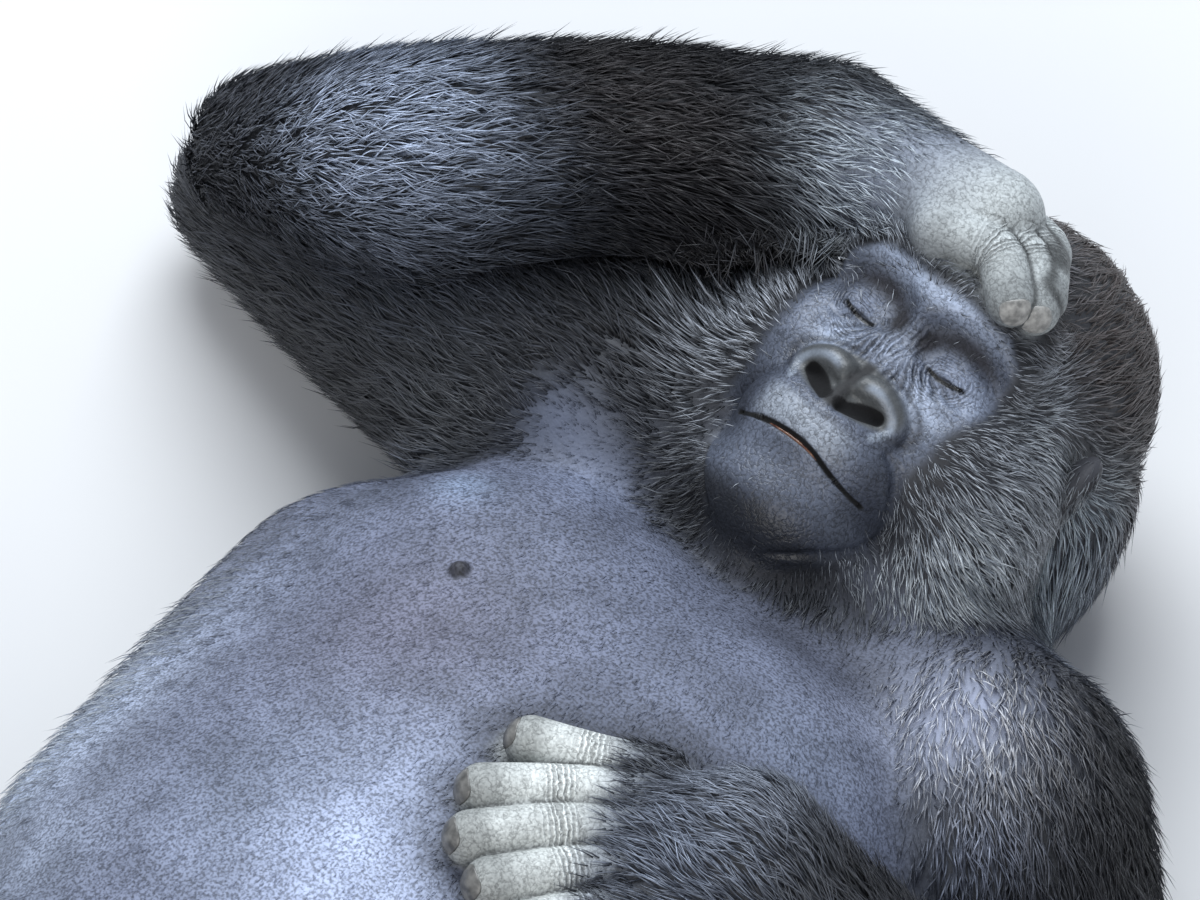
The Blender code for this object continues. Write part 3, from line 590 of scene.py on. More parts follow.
def laid_digit(part, root, heading, bend, lengths, radius):
    """The joints of a finger laid on the body; heading is in degrees from +X and turns by bend at each."""
    place, joints = np.array(root, float), [settled(*root, radius * FINGER_PRESS)]
    for length in lengths:
        way = math.radians(heading)
        place = place + length * np.array([math.cos(way), math.sin(way)])
        joints.append(settled(*place, radius * FINGER_PRESS))
        heading += bend
    return part, joints, radius * np.array((1.0, 0.96, 1.0))


def add_forearm(part, joints, radii):
    """A forearm with its wrist and palm: the coat thins out towards the bare hand."""
    radii = np.array(radii) - DEPTH["forearm"] * np.array([1.0] * (len(joints) - 2) + [0.35, 0.0])
    form(part, chain(joints[:-1], radii[:-1], 12), 0.015)
    form(part.replace("forearm", "hand"), chain(joints[-2:], radii[-2:]), 0.015)


def add_palm(part, fingers, wrist, radius):
    """The broad back of a hand: rounded bars from the wrist to each finger's root."""
    for _, joints, _ in fingers:
        form(part, limb(wrist, joints[0], radius * 1.25, radius), 0.016)


right, left = [], []
for finger, lengths in enumerate(((0.040, 0.034), (0.050, 0.038), (0.052, 0.036), (0.046, 0.030))):
    root = (-0.022 - 0.002 * finger, 0.156 + 0.019 * finger)
    right.append(laid_digit("hand_r", root, 16 - 7 * finger, -46, lengths, FINGER_R))
left.append(laid_digit("hand_l", (0.138, -0.238), 218, -6, (0.044, 0.035), THUMB_L))
for finger, lengths in enumerate(((0.050, 0.043), (0.054, 0.050), (0.052, 0.046), (0.046, 0.040))):
    root = (0.143 + 0.0185 * finger, -0.261 - 0.0135 * finger)
    left.append(laid_digit("hand_l", root, 227 + 5.5 * finger, 4, lengths, FINGER_L))

add_forearm("forearm_r", (*FOREARM_R, WRIST_R, KNUCKLES_R), (0.062, 0.079, 0.070, 0.052, 0.032))
elbow = np.array(ELBOW_L) + (0.006, 0.0, 0.004)
add_forearm("forearm_l", (elbow, FOREARM_L, WRIST_L, KNUCKLES_L), (0.082, 0.094, 0.052, 0.034))
add_palm("hand_r", right, np.array(KNUCKLES_R) - (0.030, 0.004, 0.006), 0.0165)
add_palm("hand_l", left[1:], np.array(WRIST_L), 0.0175)
for part, joints, radii in right + left:
    digit(part, joints, radii, 0.0025)
add_slits()
form("chest", mass(NIPPLE + (0.0, 0.0, 0.0005), (0.0058, 0.0058, 0.0048)), 0.003)
print("whole body:", len(forms), "forms,", len(digits), "digits")

# %% [markdown]
# ## The skin
# The field is read on a grid, and surface nets turn it into a mesh: each cell that the surface passes
# through gets one point, the mean of its crossings, and each grid edge that the surface cuts gets one quad.
# Decimation then thins the flat stretches, and the places that need detail are split again and moved on to
# the exact field.

# %% The field on a grid, and its surface nets
STEP = 0.005
GRID_LOW, GRID_HIGH = np.array([-0.60, -1.28, -0.012]), np.array([0.60, 0.34, 0.46])


def grid_field():
    """The body's distances on the grid, each form within its own window."""
    count = np.ceil((GRID_HIGH - GRID_LOW) / STEP).astype(int)
    value = np.full(count, 1.0, np.float32)
    for _, low, high, distance, blend, carve in forms:
        first = np.clip(((low - blend - REACH - GRID_LOW) / STEP).astype(int), 0, count)
        last = np.clip(((high + blend + REACH - GRID_LOW) / STEP).astype(int) + 2, 0, count)
        x, y, z = (GRID_LOW[i] + STEP * np.arange(first[i], last[i]) for i in range(3))
        window = tuple(slice(a, b) for a, b in zip(first, last))
        new = distance((x[:, None, None], y[None, :, None], z[None, None, :])).astype(np.float32)
        value[window] = merged(value[window], new, blend, carve)
    y, z = (GRID_LOW[i] + STEP * np.arange(count[i]) for i in (1, 2))
    return np.maximum(value, (floor_level(y)[:, None] - z[None, :])[None])


def surface_nets(value):
    """Points and quads of the grid's zero surface."""
    inside = value < 0
    size = np.array(value.shape) - 1
    corners = [(i, j, k) for i in (0, 1) for j in (0, 1) for k in (0, 1)]
    count = sum(inside[i:size[0] + i, j:size[1] + j, k:size[2] + k].astype(np.uint8) for i, j, k in corners)
    active = (count > 0) & (count < 8)
    cells = np.argwhere(active)
    number = np.full(active.shape, -1)
    number[active] = np.arange(len(cells))
    total, hits = np.zeros((len(cells), 3)), np.zeros(len(cells))
    at_corner = {corner: value[tuple((cells + corner).T)] for corner in corners}
    for corner in corners:
        for axis in range(3):
            if corner[axis] == 0:
                ahead = tuple(np.array(corner) + np.eye(3, dtype=int)[axis])
                a, b = at_corner[corner], at_corner[ahead]
                crossed = (a < 0) != (b < 0)
                share = np.where(crossed, a / np.where(crossed, a - b, 1), 0)
                total += (np.array(corner) + share[:, None] * np.eye(3)[axis]) * crossed[:, None]
                hits += crossed
    points = GRID_LOW + (cells + total / hits[:, None]) * STEP
    quads = []
    for axis in range(3):
        one, two = (axis + 1) % 3, (axis + 2) % 3
        near = tuple(slice(0, -1) if i == axis else slice(None) for i in range(3))
        far = tuple(slice(1, None) if i == axis else slice(None) for i in range(3))
        edges = np.argwhere(inside[near] != inside[far])
        edges = edges[(edges[:, one] > 0) & (edges[:, two] > 0)]
        ring = []
        for shift_one, shift_two in ((0, 0), (1, 0), (1, 1), (0, 1)):
            cell = edges.copy()
            cell[:, one] -= shift_one
            cell[:, two] -= shift_two
            ring.append(number[tuple(cell.T)])
        quad = np.stack(ring, 1)
        leaving = inside[tuple(edges.T)]
        quad[~leaving] = quad[~leaving][:, ::-1]
        quads.append(quad)
    return points, np.concatenate(quads)


points, quads = surface_nets(grid_field())
print("surface nets:", len(points), "points,", len(quads), "quads")

# %% Thin the flat stretches, keep the one outer shell
THINNED = 68_000        # triangles


def new_mesh(name, points, faces):
    """A mesh of an array of points and a list of faces, smooth shaded."""
    mesh = bpy.data.meshes.new(name)
    mesh.from_pydata(points.tolist(), [], faces)
    mesh.shade_smooth()
    return mesh


def new_piece(name, mesh):
    """An object at the origin that rides on the one body."""
    piece = placed(name, mesh)
    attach(piece, "root")
    return piece


def arrays_of(mesh):
    """A triangulated mesh's points and triangles as arrays."""
    points, triangles = np.zeros(len(mesh.vertices) * 3), np.zeros(len(mesh.loops), int)
    mesh.vertices.foreach_get("co", points)
    mesh.loops.foreach_get("vertex_index", triangles)
    return points.reshape(-1, 3), triangles.reshape(-1, 3)


def thinned(points, quads, triangles):
    """The mesh after edge collapses that keep its form, about that many triangles left."""
    work = placed("work", new_mesh("work", points, quads.tolist()))
    collapse = work.modifiers.new("collapse", "DECIMATE")
    collapse.ratio = triangles / (2 * len(quads))
    collapse.use_collapse_triangulate = True
    graph = bpy.context.evaluated_depsgraph_get()
    mesh = bpy.data.meshes.new_from_object(work.evaluated_get(graph), depsgraph=graph)
    bpy.data.objects.remove(work)
    return arrays_of(mesh)


def largest_shell(points, triangles):
    """The connected shell with most points: each point takes its neighbours' least label until all agree."""
    label = np.arange(len(points))
    while True:
        least = label[triangles].min(1)
        before = label.copy()
        for k in range(3):
            np.minimum.at(label, triangles[:, k], least)
        label = label[label]
        if np.array_equal(label, before):
            break
    keep = label == np.bincount(label).argmax()
    number = np.cumsum(keep) - 1
    return points[keep], number[triangles[keep[triangles[:, 0]]]]


points, triangles = largest_shell(*thinned(points, quads, THINNED))
print("thinned:", len(points), "points,", len(triangles), "triangles")

# %% [markdown]
# Splitting edges adds points only where they are wanted.  A triangle with one, two or three split edges
# becomes two, three or four, so no gap opens.  Each round then slides the points towards the middle of
# their neighbours and pulls them back to the field's zero, which keeps the triangles even.

# %% Split, even out, and land on the field
STRIDE = 0.002      # the longest step towards the field's zero


def split_where_long(points, triangles, longest):
    """Halves each edge longer than the size asked for at its middle."""
    ends = np.sort(triangles[:, [0, 1, 1, 2, 2, 0]].reshape(-1, 2), axis=1)
    edges, which = np.unique(ends, axis=0, return_inverse=True)
    middle = points[edges].mean(1)
    long = np.linalg.norm(points[edges[:, 0]] - points[edges[:, 1]], axis=1) > longest(middle)
    number = np.where(long, len(points) + np.cumsum(long) - 1, -1)
    cut = number[which.ravel()].reshape(-1, 3)
    count = (cut >= 0).sum(1)
    start = np.where(count == 1, (cut >= 0).argmax(1), np.where(count == 2, ((cut < 0).argmax(1) + 1) % 3, 0))
    order = (np.arange(3) + start[:, None]) % 3
    a, b, c = np.take_along_axis(triangles, order, 1).T
    ab, bc, ca = np.take_along_axis(cut, order, 1).T
    whole, one, two, three = (count == n for n in range(4))
    pieces = [(whole, a, b, c), (one, a, ab, c), (one, ab, b, c),
              (two, ab, b, bc), (two, a, ab, bc), (two, a, bc, c),
              (three, a, ab, ca), (three, ab, b, bc), (three, bc, c, ca), (three, ab, bc, ca)]
    return (np.vstack([points, middle[long]]),
            np.concatenate([np.stack([p[w], q[w], r[w]], 1) for w, p, q, r in pieces]))


def evened(points, triangles):
    """Each point moved half the way to the mean of its neighbours."""
    ends = triangles[:, [0, 1, 1, 2, 2, 0]].reshape(-1, 2)
    count = np.bincount(ends[:, 0], minlength=len(points))[:, None]
    total = np.stack([np.bincount(ends[:, 0], points[ends[:, 1], i], len(points)) for i in range(3)], 1)
    return points + 0.5 * (total / np.maximum(count, 1) - points)


def landed(points, rounds=2):
    """Points moved down the gradient to the field's zero, a stride at a time at most."""
    for _ in range(rounds):
        slope, value = slope_at(points)
        step = value[:, None] * slope / np.maximum((slope ** 2).sum(1), 0.25)[:, None]
        size = np.linalg.norm(step, axis=1, keepdims=True)
        points = points - step * np.minimum(1, STRIDE / np.maximum(size, 1e-9))
    return points


moved = np.abs(evened(points, triangles) - points).max()
print("evening once moves a point by up to", (moved * 1000).round(1), "mm")

# %% How fine the skin has to be
def fade(value, start, end):
    """0 before start, 1 after end, smooth between."""
    share = np.clip((value - start) / (end - start), 0, 1)
    return share * share * (3 - 2 * share)


def longest_edge(points):
    """The longest edge wanted at each point: 1.4 mm at the lids, 18 mm on the trunk, 22 mm on the limbs."""
    apart = field_at(points, parts=True)[1]
    part = apart.argmin(0)
    size = np.full(len(points), 0.022)
    for names, length in ((("hand_l", "hand_r"), 0.0032), (("foot_l", "foot_r"), 0.0075), (("ear",), 0.0030),
                          (("head",), 0.0100), (("chest", "belly"), 0.0180)):
        size[np.isin(part, rows_of(*names))] = length
    size[np.linalg.norm(points - NIPPLE, axis=1) < 0.014] = 0.0022
    x, y, z = of_head(points).T
    face = (z > -0.055) & (np.abs(x) < 0.070) & (y > -0.172) & (y < 0.046)
    size[face] = 0.0024
    near_eye = np.hypot(np.abs(x) - EYE_SPACING / 2, y) < 0.023
    size[face & near_eye] = 0.0014
    size[face & (np.abs(x) < 0.046) & (np.abs(y + 0.092) < 0.010)] = 0.0017
    size[face & (np.abs(x) < 0.042) & (y < -0.022) & (y > -0.070)] = 0.0019
    return size


for _ in range(4):
    points, triangles = split_where_long(points, triangles, longest_edge)
    points = landed(evened(points, triangles), 1)
points = landed(points, 2)
print("skin:", len(points), "points,", len(triangles), "triangles")

# %% [markdown]
# ## The marks on skin and coat, with painted light and shade
# Skin and coat take their colour from the same soft masks: shares of the parts, smooth spots in metres, and
# zones of the head in its own frame.  Some of these spots and zones are painted highlights, sheen and shade.
# The coat asks for the colour at the root of each tuft, so both always agree.

# %% Colours and spots of the body
BLACK, DARK_TIP = (0.012, 0.013, 0.016), (0.030, 0.032, 0.041)
GREY, LIMB_SKIN = (0.030, 0.031, 0.037), (0.024, 0.026, 0.031)
SKIN_COLOUR = {"chest": (0.126, 0.143, 0.203), "belly": (0.138, 0.155, 0.218), "neck": (0.040, 0.045, 0.060),
               "head": (0.030, 0.032, 0.038), "ear": (0.045, 0.046, 0.055),
               "foot_r": (0.045, 0.045, 0.050), "foot_l": (0.045, 0.045, 0.050)}
SPOTS = (   # centre, radii, colour and strength
    ((-0.125, -0.148, 0.26), (0.021, 0.017, 0.05), (0.21, 0.265, 0.375), 0.90),   # armpit
    ((-0.170, -0.155, 0.24), (0.024, 0.035, 0.05), (0.055, 0.065, 0.095), 0.85),   # behind the armpit
    ((0.166, -0.152, 0.27), (0.045, 0.040, 0.05), (0.170, 0.198, 0.275), 0.75),   # left of the chest
    # the next row, the left shoulder: pale skin and hair with a painted sheen
    ((0.180, -0.040, 0.23), (0.045, 0.050, 0.05), (0.42, 0.460, 0.600), 0.94),   # left shoulder
    ((-0.180, -0.460, 0.20), (0.050, 0.140, 0.07), (0.47, 0.540, 0.680), 0.92),   # right flank
    ((0.078, -0.400, 0.33), (0.098, 0.110, 0.06), (0.41, 0.475, 0.650), 0.90),   # top of the belly
    ((-0.130, -0.058, 0.24), (0.030, 0.026, 0.05), (0.075, 0.088, 0.130), 0.90),   # throat to armpit
    ((-0.085, -0.072, 0.24), (0.026, 0.026, 0.05), (0.185, 0.215, 0.310), 0.85),   # right of the throat
    ((-0.020, -0.425, 0.31), (0.050, 0.060, 0.06), (0.150, 0.178, 0.245), 0.50),   # belly's top, right
    ((-0.050, -0.260, 0.29), (0.080, 0.070, 0.06), (0.125, 0.120, 0.165), 0.60),   # middle of the chest
    ((0.090, -0.060, 0.23), (0.080, 0.040, 0.05), (0.060, 0.066, 0.092), 0.80),   # foot of the throat
    ((-0.110, -0.520, 0.26), (0.050, 0.070, 0.06), (0.240, 0.275, 0.355), 0.80))   # low right of the belly
HAND_TONES = {"r": ((0.000, 0.055, (0.190, 0.215, 0.265)), (0.070, 0.150, (0.44, 0.47, 0.47))),
              "l": ((0.060, 0.080, (0.30, 0.33, 0.37)), (0.075, 0.105, (0.64, 0.67, 0.65)))}
BARE_FROM = {"r": (WRIST_R, (0.04, 0.155, 0.35)), "l": (WRIST_L, (0.10, -0.31, 0.34))}
print(len(SPOTS), "spots on the body")

# %% Spots, mixes and shares
def spot(points, centre, radii):
    """1 at the centre, falling as exp(-d*d), with d the distance in units of the radii."""
    return np.exp(-(((points - np.array(centre)) / np.array(radii)) ** 2).sum(1))


def mixed(colour, other, share):
    """Each row of colour moved to the other by its share."""
    return colour + (np.array(other) - colour) * np.asarray(share)[:, None]


def weight_of(share, *names):
    """The summed share of those parts at each point."""
    return share[rows_of(*names)].sum(0)


print("a spot at 0, 1 and 2 radii:", spot(np.outer((0, 1, 2), (1, 0, 0)), (0, 0, 0), (1, 1, 1)).round(3))

# %% [markdown]
# The bare face ends in an uneven line, so its half width is given at several heights, on the left and on
# the right.  Within it each zone is a round or ring-shaped patch in the head's own frame, so that it stays
# on its form.

# %% Zones of the head
FACE_LEFT = ((-0.165, -0.140, -0.110, -0.084, -0.063, -0.035, 0.0, 0.032, 0.044, 0.050),
             (0.020, 0.045, 0.056, 0.056, 0.054, 0.059, 0.066, 0.061, 0.049, 0.040))
FACE_RIGHT = ((-0.165, -0.137, -0.109, -0.085, -0.068, -0.044, -0.027, 0.0, 0.030, 0.044, 0.050),
              (0.020, 0.042, 0.070, 0.073, 0.072, 0.071, 0.074, 0.073, 0.064, 0.049, 0.040))


# the zones under the eyes, between them, on the lids and along the brow are painted highlights
ROUND_ZONES = {     # across from the middle, its width, up from the eyes, its width
    "inner": (0.0115, 0.007, 0.007, 0.009), "below": (0.036, 0.018, -0.026, 0.014),
    "lid": (EYE_SPACING / 2, 0.019, 0.0055, 0.0085), "top": (0.022, 0.034, 0.0372, 0.0088),
    "temple": (0.056, 0.011, -0.002, 0.017), "root": (0.0, 0.014, -0.004, 0.020)}


def head_masks(points, share):
    """The zones of the face and head by name, each from 0 to 1, among them painted highlights and painted
    shade.
    """
    on_head = weight_of(share, "head")
    x, y, z = of_head(points).T
    wide = np.abs(x - MIDLINE * fade(-y, 0.0, 0.05))
    half = np.where(x > 0, np.interp(y, *FACE_LEFT), np.interp(y, *FACE_RIGHT))
    edge = np.maximum.reduce([np.abs(x) / half, (y + 0.056) / 0.104, -(y + 0.056) / 0.109])
    edge = edge + 0.025 * np.sin(x * 190 + 2) * np.sin(y * 170)
    bare = on_head * fade(-edge, -1.10, -0.92) * fade(z, -0.065, -0.045) * fade(-y, -0.050, -0.038)
    eye = np.abs(x) - EYE_SPACING / 2
    # painted shade in the hollow between the brow and the lids, and at their inner ends
    hollow = np.exp(-((y - 0.0225 + 13 * eye ** 2) / 0.0082) ** 2 - (eye / 0.030) ** 2)
    zones = {name: np.exp(-((np.abs(x) - across) / width) ** 2 - ((y - up) / height) ** 2)
             for name, (across, width, up, height) in ROUND_ZONES.items()}
    from_nose = np.hypot(wide / 0.0445, (y + 0.0415) / 0.0195)
    nose = fade(-from_nose, -1.06, -0.84)
    # painted shade in a ring round the edge of the nose
    groove = np.exp(-((from_nose - 1.10) / 0.09) ** 2) * fade(y + 0.4 * wide, -0.046, -0.034)
    groove = groove * fade(wide, 0.004, 0.012)
    # painted shade in the notch between the nose's lobes
    notch = nose * fade(-wide, -0.0060, -0.0020)
    # a paler upper lip, partly its own tone and partly a painted highlight
    lip = np.exp(-((y + 0.078) / 0.012) ** 4) * fade(-wide, -0.048, -0.026) * fade(-x, -0.036, -0.008)
    # painted shade inside the nostrils, the mouth's line and the slits of the lids
    near = {name: fade(-nearest(shapes, points), -reach, -0.0003)
            for (name, shapes), reach in zip(carved.items(), (0.0012, 0.0010, 0.0014))}
    # a painted highlight along the tops of the nose's rolls
    crest = fade(-nearest(nose_highlight_lines, points), -0.0038, -0.0006)
    crest = crest * fade(wide, 0.008, 0.016)
    corner = np.exp(-((x + 0.0550) / 0.0085) ** 2 - ((y - 0.005) / 0.012) ** 2)
    shade = fade(np.abs(x - MIDLINE), 0.032, 0.050) * np.exp(-((y + 0.086) / 0.026) ** 4)
    shade = np.maximum(shade, fade(0.25 * x - y, 0.112, 0.140))
    throat = on_head * fade(-y, 0.124, 0.142) * fade(z, -0.09, -0.03)
    crown = on_head * fade(y - 0.3 * z, 0.045, 0.085)
    zones |= {"hollow": np.clip(1.1 * hollow + 0.9 * zones["inner"], 0, 1), "lip": lip * (1 - nose),
              "nose": nose, "corner": corner, "shade": shade, "crest": crest, "groove": groove,
              "notch": notch}
    return {"bare": bare, **{name: bare * zone for name, zone in zones.items()},
            **{name: on_head * zone for name, zone in near.items()},
            "throat": throat, "crown": crown, "rim": np.clip(edge - 1, 0, 2), "head": on_head}


print(len(ROUND_ZONES), "round zones on the face")

# %% Bare hands and furred sides
def on_hand(points, share, s, start, end):
    """0 at start to 1 at end, in metres from the wrist to the knuckles, where the hand outweighs the rest."""
    wrist, knuckles = BARE_FROM[s]
    run = (points - np.array(wrist)) @ unit(np.subtract(knuckles, wrist))
    return fade(run, start, end) * fade(weight_of(share, "hand_" + s), 0.42, 0.78)


def trunk_sides(points, share):
    """How far each point of the trunk is down its sides and back, or towards the groin: the long coat."""
    x, y, z = points.T
    left = fade(x - 0.5 * (z - 0.2), 0.200, 0.275) * fade(-y, 0.32, 0.44)
    down = np.maximum.reduce([fade(-z, -0.215, -0.115), fade(-y, 0.515, 0.640), left])
    return weight_of(share, "chest", "belly", "neck") * down


# %% Colour and finish of the skin
# the tones under and between the eyes, on the lids, along the brow and on the nose's rolls are painted
# highlights, the upper lip is paler with a painted highlight, and the ring round the nose, its notch, the
# shade, the hollows, the mouth's line, the lid slits and the nostrils are painted shade
FACE_TONES = (
    ("bare", (0.100, 0.116, 0.156), 1.0), ("below", (0.380, 0.440, 0.560), 0.88),
    ("root", (0.340, 0.390, 0.500), 0.65), ("lid", (0.185, 0.215, 0.290), 0.80),
    ("top", (0.430, 0.500, 0.640), 0.92), ("temple", (0.230, 0.270, 0.360), 0.80),
    ("corner", (0.030, 0.032, 0.042), 0.75), ("lip", (0.270, 0.300, 0.345), 0.85),
    ("nose", (0.066, 0.069, 0.067), 0.92), ("crest", (0.270, 0.310, 0.370), 0.90),
    ("groove", (0.020, 0.021, 0.026), 0.70), ("notch", (0.018, 0.018, 0.020), 0.85),
    ("shade", (0.030, 0.035, 0.050), 0.85), ("hollow", (0.010, 0.008, 0.011), 0.95),
    ("throat", (0.010, 0.011, 0.014), 0.9), ("line", (0.004, 0.004, 0.004), 0.97),
    ("slit", (0.020, 0.021, 0.026), 0.6), ("hole", (0.006, 0.006, 0.007), 0.97))


def skin_marks_and_light(points, share):
    """The skin's colour with its painted light and shade, and its finish as roughness, strength of stipple
    and strength of wrinkles.
    """
    colour = share.T @ np.array([SKIN_COLOUR.get(name, LIMB_SKIN) for name in PARTS])
    spotted = weight_of(share, "chest", "belly", "arm_l", "arm_r", "neck", "forearm_l")
    for centre, radii, tone, amount in SPOTS:
        colour = mixed(colour, tone, amount * spot(points, centre, radii) * spotted)
    colour = mixed(colour, GREY, fade(trunk_sides(points, share), 0.25, 0.90))
    for s, tones in HAND_TONES.items():
        for start, end, tone in tones:
            colour = mixed(colour, tone, on_hand(points, share, s, start, end))
    # painted shade that darkens the fingertips
    ends = np.array([curve[-1] for _, curve in digits])
    tips = np.min([np.linalg.norm((points - end[:3]) / end[3], axis=1) for end in ends], axis=0)
    hand = weight_of(share, "hand_r", "hand_l")
    colour = colour * (1 - 0.42 * fade(-tips, -1.28, -0.95) * hand)[:, None]
    # painted shade where a hand lies on the body
    contact_shade = np.clip(4 * hand * weight_of(share, "chest", "belly", "head"), 0, 1)
    colour = colour * (1 - 0.50 * contact_shade)[:, None]
    ring = np.linalg.norm(points - NIPPLE, axis=1)
    colour = mixed(colour, (0.022, 0.022, 0.028), 0.95 * fade(-ring, -0.0095, -0.0055))
    m = head_masks(points, share)
    for name, tone, amount in FACE_TONES:
        colour = mixed(colour, tone, amount * m[name])
    rough = 0.60 - 0.25 * m["bare"] + 0.04 * m["nose"] - 0.12 * m["crest"]
    rough = rough + 0.60 * np.maximum(m["hole"], m["line"]) + 0.38 * np.maximum(m["hollow"], m["notch"])
    stipple = weight_of(share, "chest", "belly", "neck", "foot_r", "foot_l") + 0.5 * m["bare"]
    stipple = stipple + 0.4 * hand
    wrinkle = m["bare"] * (1 - 0.8 * m["nose"]) + 0.8 * (hand + weight_of(share, "foot_r", "foot_l"))
    return colour, np.stack([rough, stipple * (1 - 0.7 * m["nose"]), wrinkle], 1)


print(len(FACE_TONES), "tones of the face")

# %% Folds of the fingers, and painted shade between them
FOLD_WIDTH = 0.0034         # metres from one fold of a finger's joint to the next
FOLDED = 0.0105             # how far from the joint the folds reach


def digit_folds(points):
    """How far along its digit each point is, as an angle that turns once in a fold's width, how near a joint,
    and how much painted shade lies between two digits: there the nearest and the next one are equally far."""
    along, near, closest = np.zeros(len(points)), np.zeros(len(points)), np.full(len(points), 0.35)
    apart_all = np.sort([chain(curve[:, :3], curve[:, 3], 1)[2](points.T) for _, curve in digits], axis=0)
    # painted shade in the creases between two digits
    between_shade = fade(apart_all[0] - apart_all[1], -0.0034, -0.0004) * fade(-apart_all[0], -0.0045, -0.0015)
    for _, curve in digits:
        mine = np.flatnonzero(np.linalg.norm(points - curve[len(curve) // 2, :3], axis=1) < 0.09)
        run = np.append(0, np.cumsum(np.linalg.norm(np.diff(curve[:, :3], axis=0), axis=1)))
        knots = run[4:-1:4]
        for a, b, start, end in zip(curve, curve[1:], run, run[1:]):
            step = (b - a)[:3]
            way = np.clip((points[mine] - a[:3]) @ step / (step @ step), 0, 1)
            apart = np.linalg.norm(points[mine] - a[:3] - way[:, None] * step, axis=1) / a[3] - 1
            here = apart < closest[mine]
            rows = mine[here]
            closest[rows], along[rows] = apart[here], (start + (end - start) * way)[here]
            near[rows] = np.exp(-(np.abs(along[rows][:, None] - knots).min(1) / FOLDED) ** 2)
    return np.stack([along * 2 * np.pi / FOLD_WIDTH, near * (closest < 0.30), between_shade], 1)


print("folds every", FOLD_WIDTH * 1000, "mm")

# %% Give the skin its marks and its painted light and shade
def add_colour(mesh, name, values):
    """Stores three numbers at each point of the mesh."""
    layer = mesh.color_attributes.new(name, "FLOAT_COLOR", "POINT")
    rows = np.column_stack([values, np.ones(len(values))]).astype(np.float32)
    layer.data.foreach_set("color", rows.ravel())


def shares_at(points):
    """Soft shares of the parts at points near the surface."""
    return part_weights(field_at(points, parts=True)[1])


share = shares_at(points)
colour, finish = skin_marks_and_light(points, share)
skin = new_piece("skin", new_mesh("skin", points + SHIFT, triangles.tolist()))
# the stored colour holds the skin's own tones and its painted light and shade
add_colour(skin.data, "marking", colour)
add_colour(skin.data, "finish", finish)
# the third number of the folds is the painted shade between digits
add_colour(skin.data, "folds", digit_folds(points))
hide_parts(*[name for name in frame["nodes"] if not name.startswith("eye")])
print("skin marked:", len(points), "points, mean colour", colour.mean(0).round(3))

# %% [markdown]
# The skin's surface: leathery bump, fine dark stipple over the chest and hands, and wrinkles that run in
# the head's own directions over the face.  Everything is a function of place, so it is the same from every
# side.

# %% Nodes, textures and ramps
def material(name):
    """A node material with its node tree and its shader."""
    made = bpy.data.materials.new(name)
    made.use_nodes = True
    return made, made.node_tree, made.node_tree.nodes["Principled BSDF"]


def node(tree, kind, links=(), **values):
    """A node with plain settings, and links given as (input, output socket of another node)."""
    made = tree.nodes.new(kind)
    for key, value in values.items():
        setattr(made, key, value)
    for into, out in links:
        tree.links.new(made.inputs[into], out)
    return made


def maths(tree, operation, a, b=0.0, clamp=False):
    """One sum of two numbers or sockets."""
    made = node(tree, "ShaderNodeMath", operation=operation, use_clamp=clamp)
    for into, value in enumerate((a, b)):
        if isinstance(value, (int, float)):
            made.inputs[into].default_value = value
        else:
            tree.links.new(made.inputs[into], value)
    return made.outputs[0]


def noise(tree, place, scale, detail=3.0, kind="ShaderNodeTexNoise"):
    """A noise or Voronoi texture of that many bumps to the metre; returns its number."""
    made = node(tree, kind, [("Vector", place)])
    made.inputs["Scale"].default_value = scale
    if kind == "ShaderNodeTexNoise":
        made.inputs["Detail"].default_value = detail
        return made.outputs["Fac"]
    return made.outputs["Distance"]


def tinted(tree, colour, amount):
    """The colour times a number."""
    made = node(tree, "ShaderNodeVectorMath", [(0, colour)], operation="SCALE")
    tree.links.new(made.inputs["Scale"], amount)
    return made.outputs[0]


def ramped(tree, value, start, end, low=0.0, high=1.0):
    """A smooth step from low at start to high at end."""
    made = node(tree, "ShaderNodeMapRange", [("Value", value)], interpolation_type="SMOOTHSTEP")
    for name, number in (("From Min", start), ("From Max", end), ("To Min", low), ("To Max", high)):
        made.inputs[name].default_value = number
    return made.outputs["Result"]


print("textures and ramps:", [helper.__name__ for helper in (noise, tinted, ramped)])

# %% Sums, stored colours and plain materials
def product(tree, *factors):
    """The product of numbers and sockets."""
    return reduce(lambda a, b: maths(tree, "MULTIPLY", a, b), factors)


def total(tree, *terms):
    """The sum of numbers and sockets."""
    return reduce(lambda a, b: maths(tree, "ADD", a, b), terms)


def less(tree, a, b, clamp=False):
    """a - b."""
    return maths(tree, "SUBTRACT", a, b, clamp)


def size_of(tree, a):
    """The number without its sign."""
    return maths(tree, "ABSOLUTE", a)


def distance_of(tree, a, b):
    """The square root of a*a + b*b."""
    return maths(tree, "SQRT", total(tree, product(tree, a, a), product(tree, b, b)))


def wave(tree, run, turns, wobble, shift):
    """The sine of turns times run, moved about by shift times a wobble."""
    return maths(tree, "SINE", total(tree, product(tree, run, turns), product(tree, wobble, shift)))


def object_place(tree):
    """The place on the object, in metres."""
    return node(tree, "ShaderNodeTexCoord").outputs["Object"]


def stored(tree, name):
    """The colour stored at each point under that name."""
    return node(tree, "ShaderNodeAttribute", attribute_name=name).outputs["Color"]


def parts_of(tree, colour):
    """A colour's three numbers."""
    return node(tree, "ShaderNodeSeparateColor", [(0, colour)]).outputs


def coloured(tree, value, *stops):
    """The colour at a number, from rows of place and colour."""
    ramp = node(tree, "ShaderNodeValToRGB", [("Fac", value)])
    marks = ramp.color_ramp.elements
    for row, (place, colour) in enumerate(stops):
        mark = marks[row] if row < len(marks) else marks.new(place)
        mark.position, mark.color = place, (*colour, 1)
    return ramp.outputs[0]


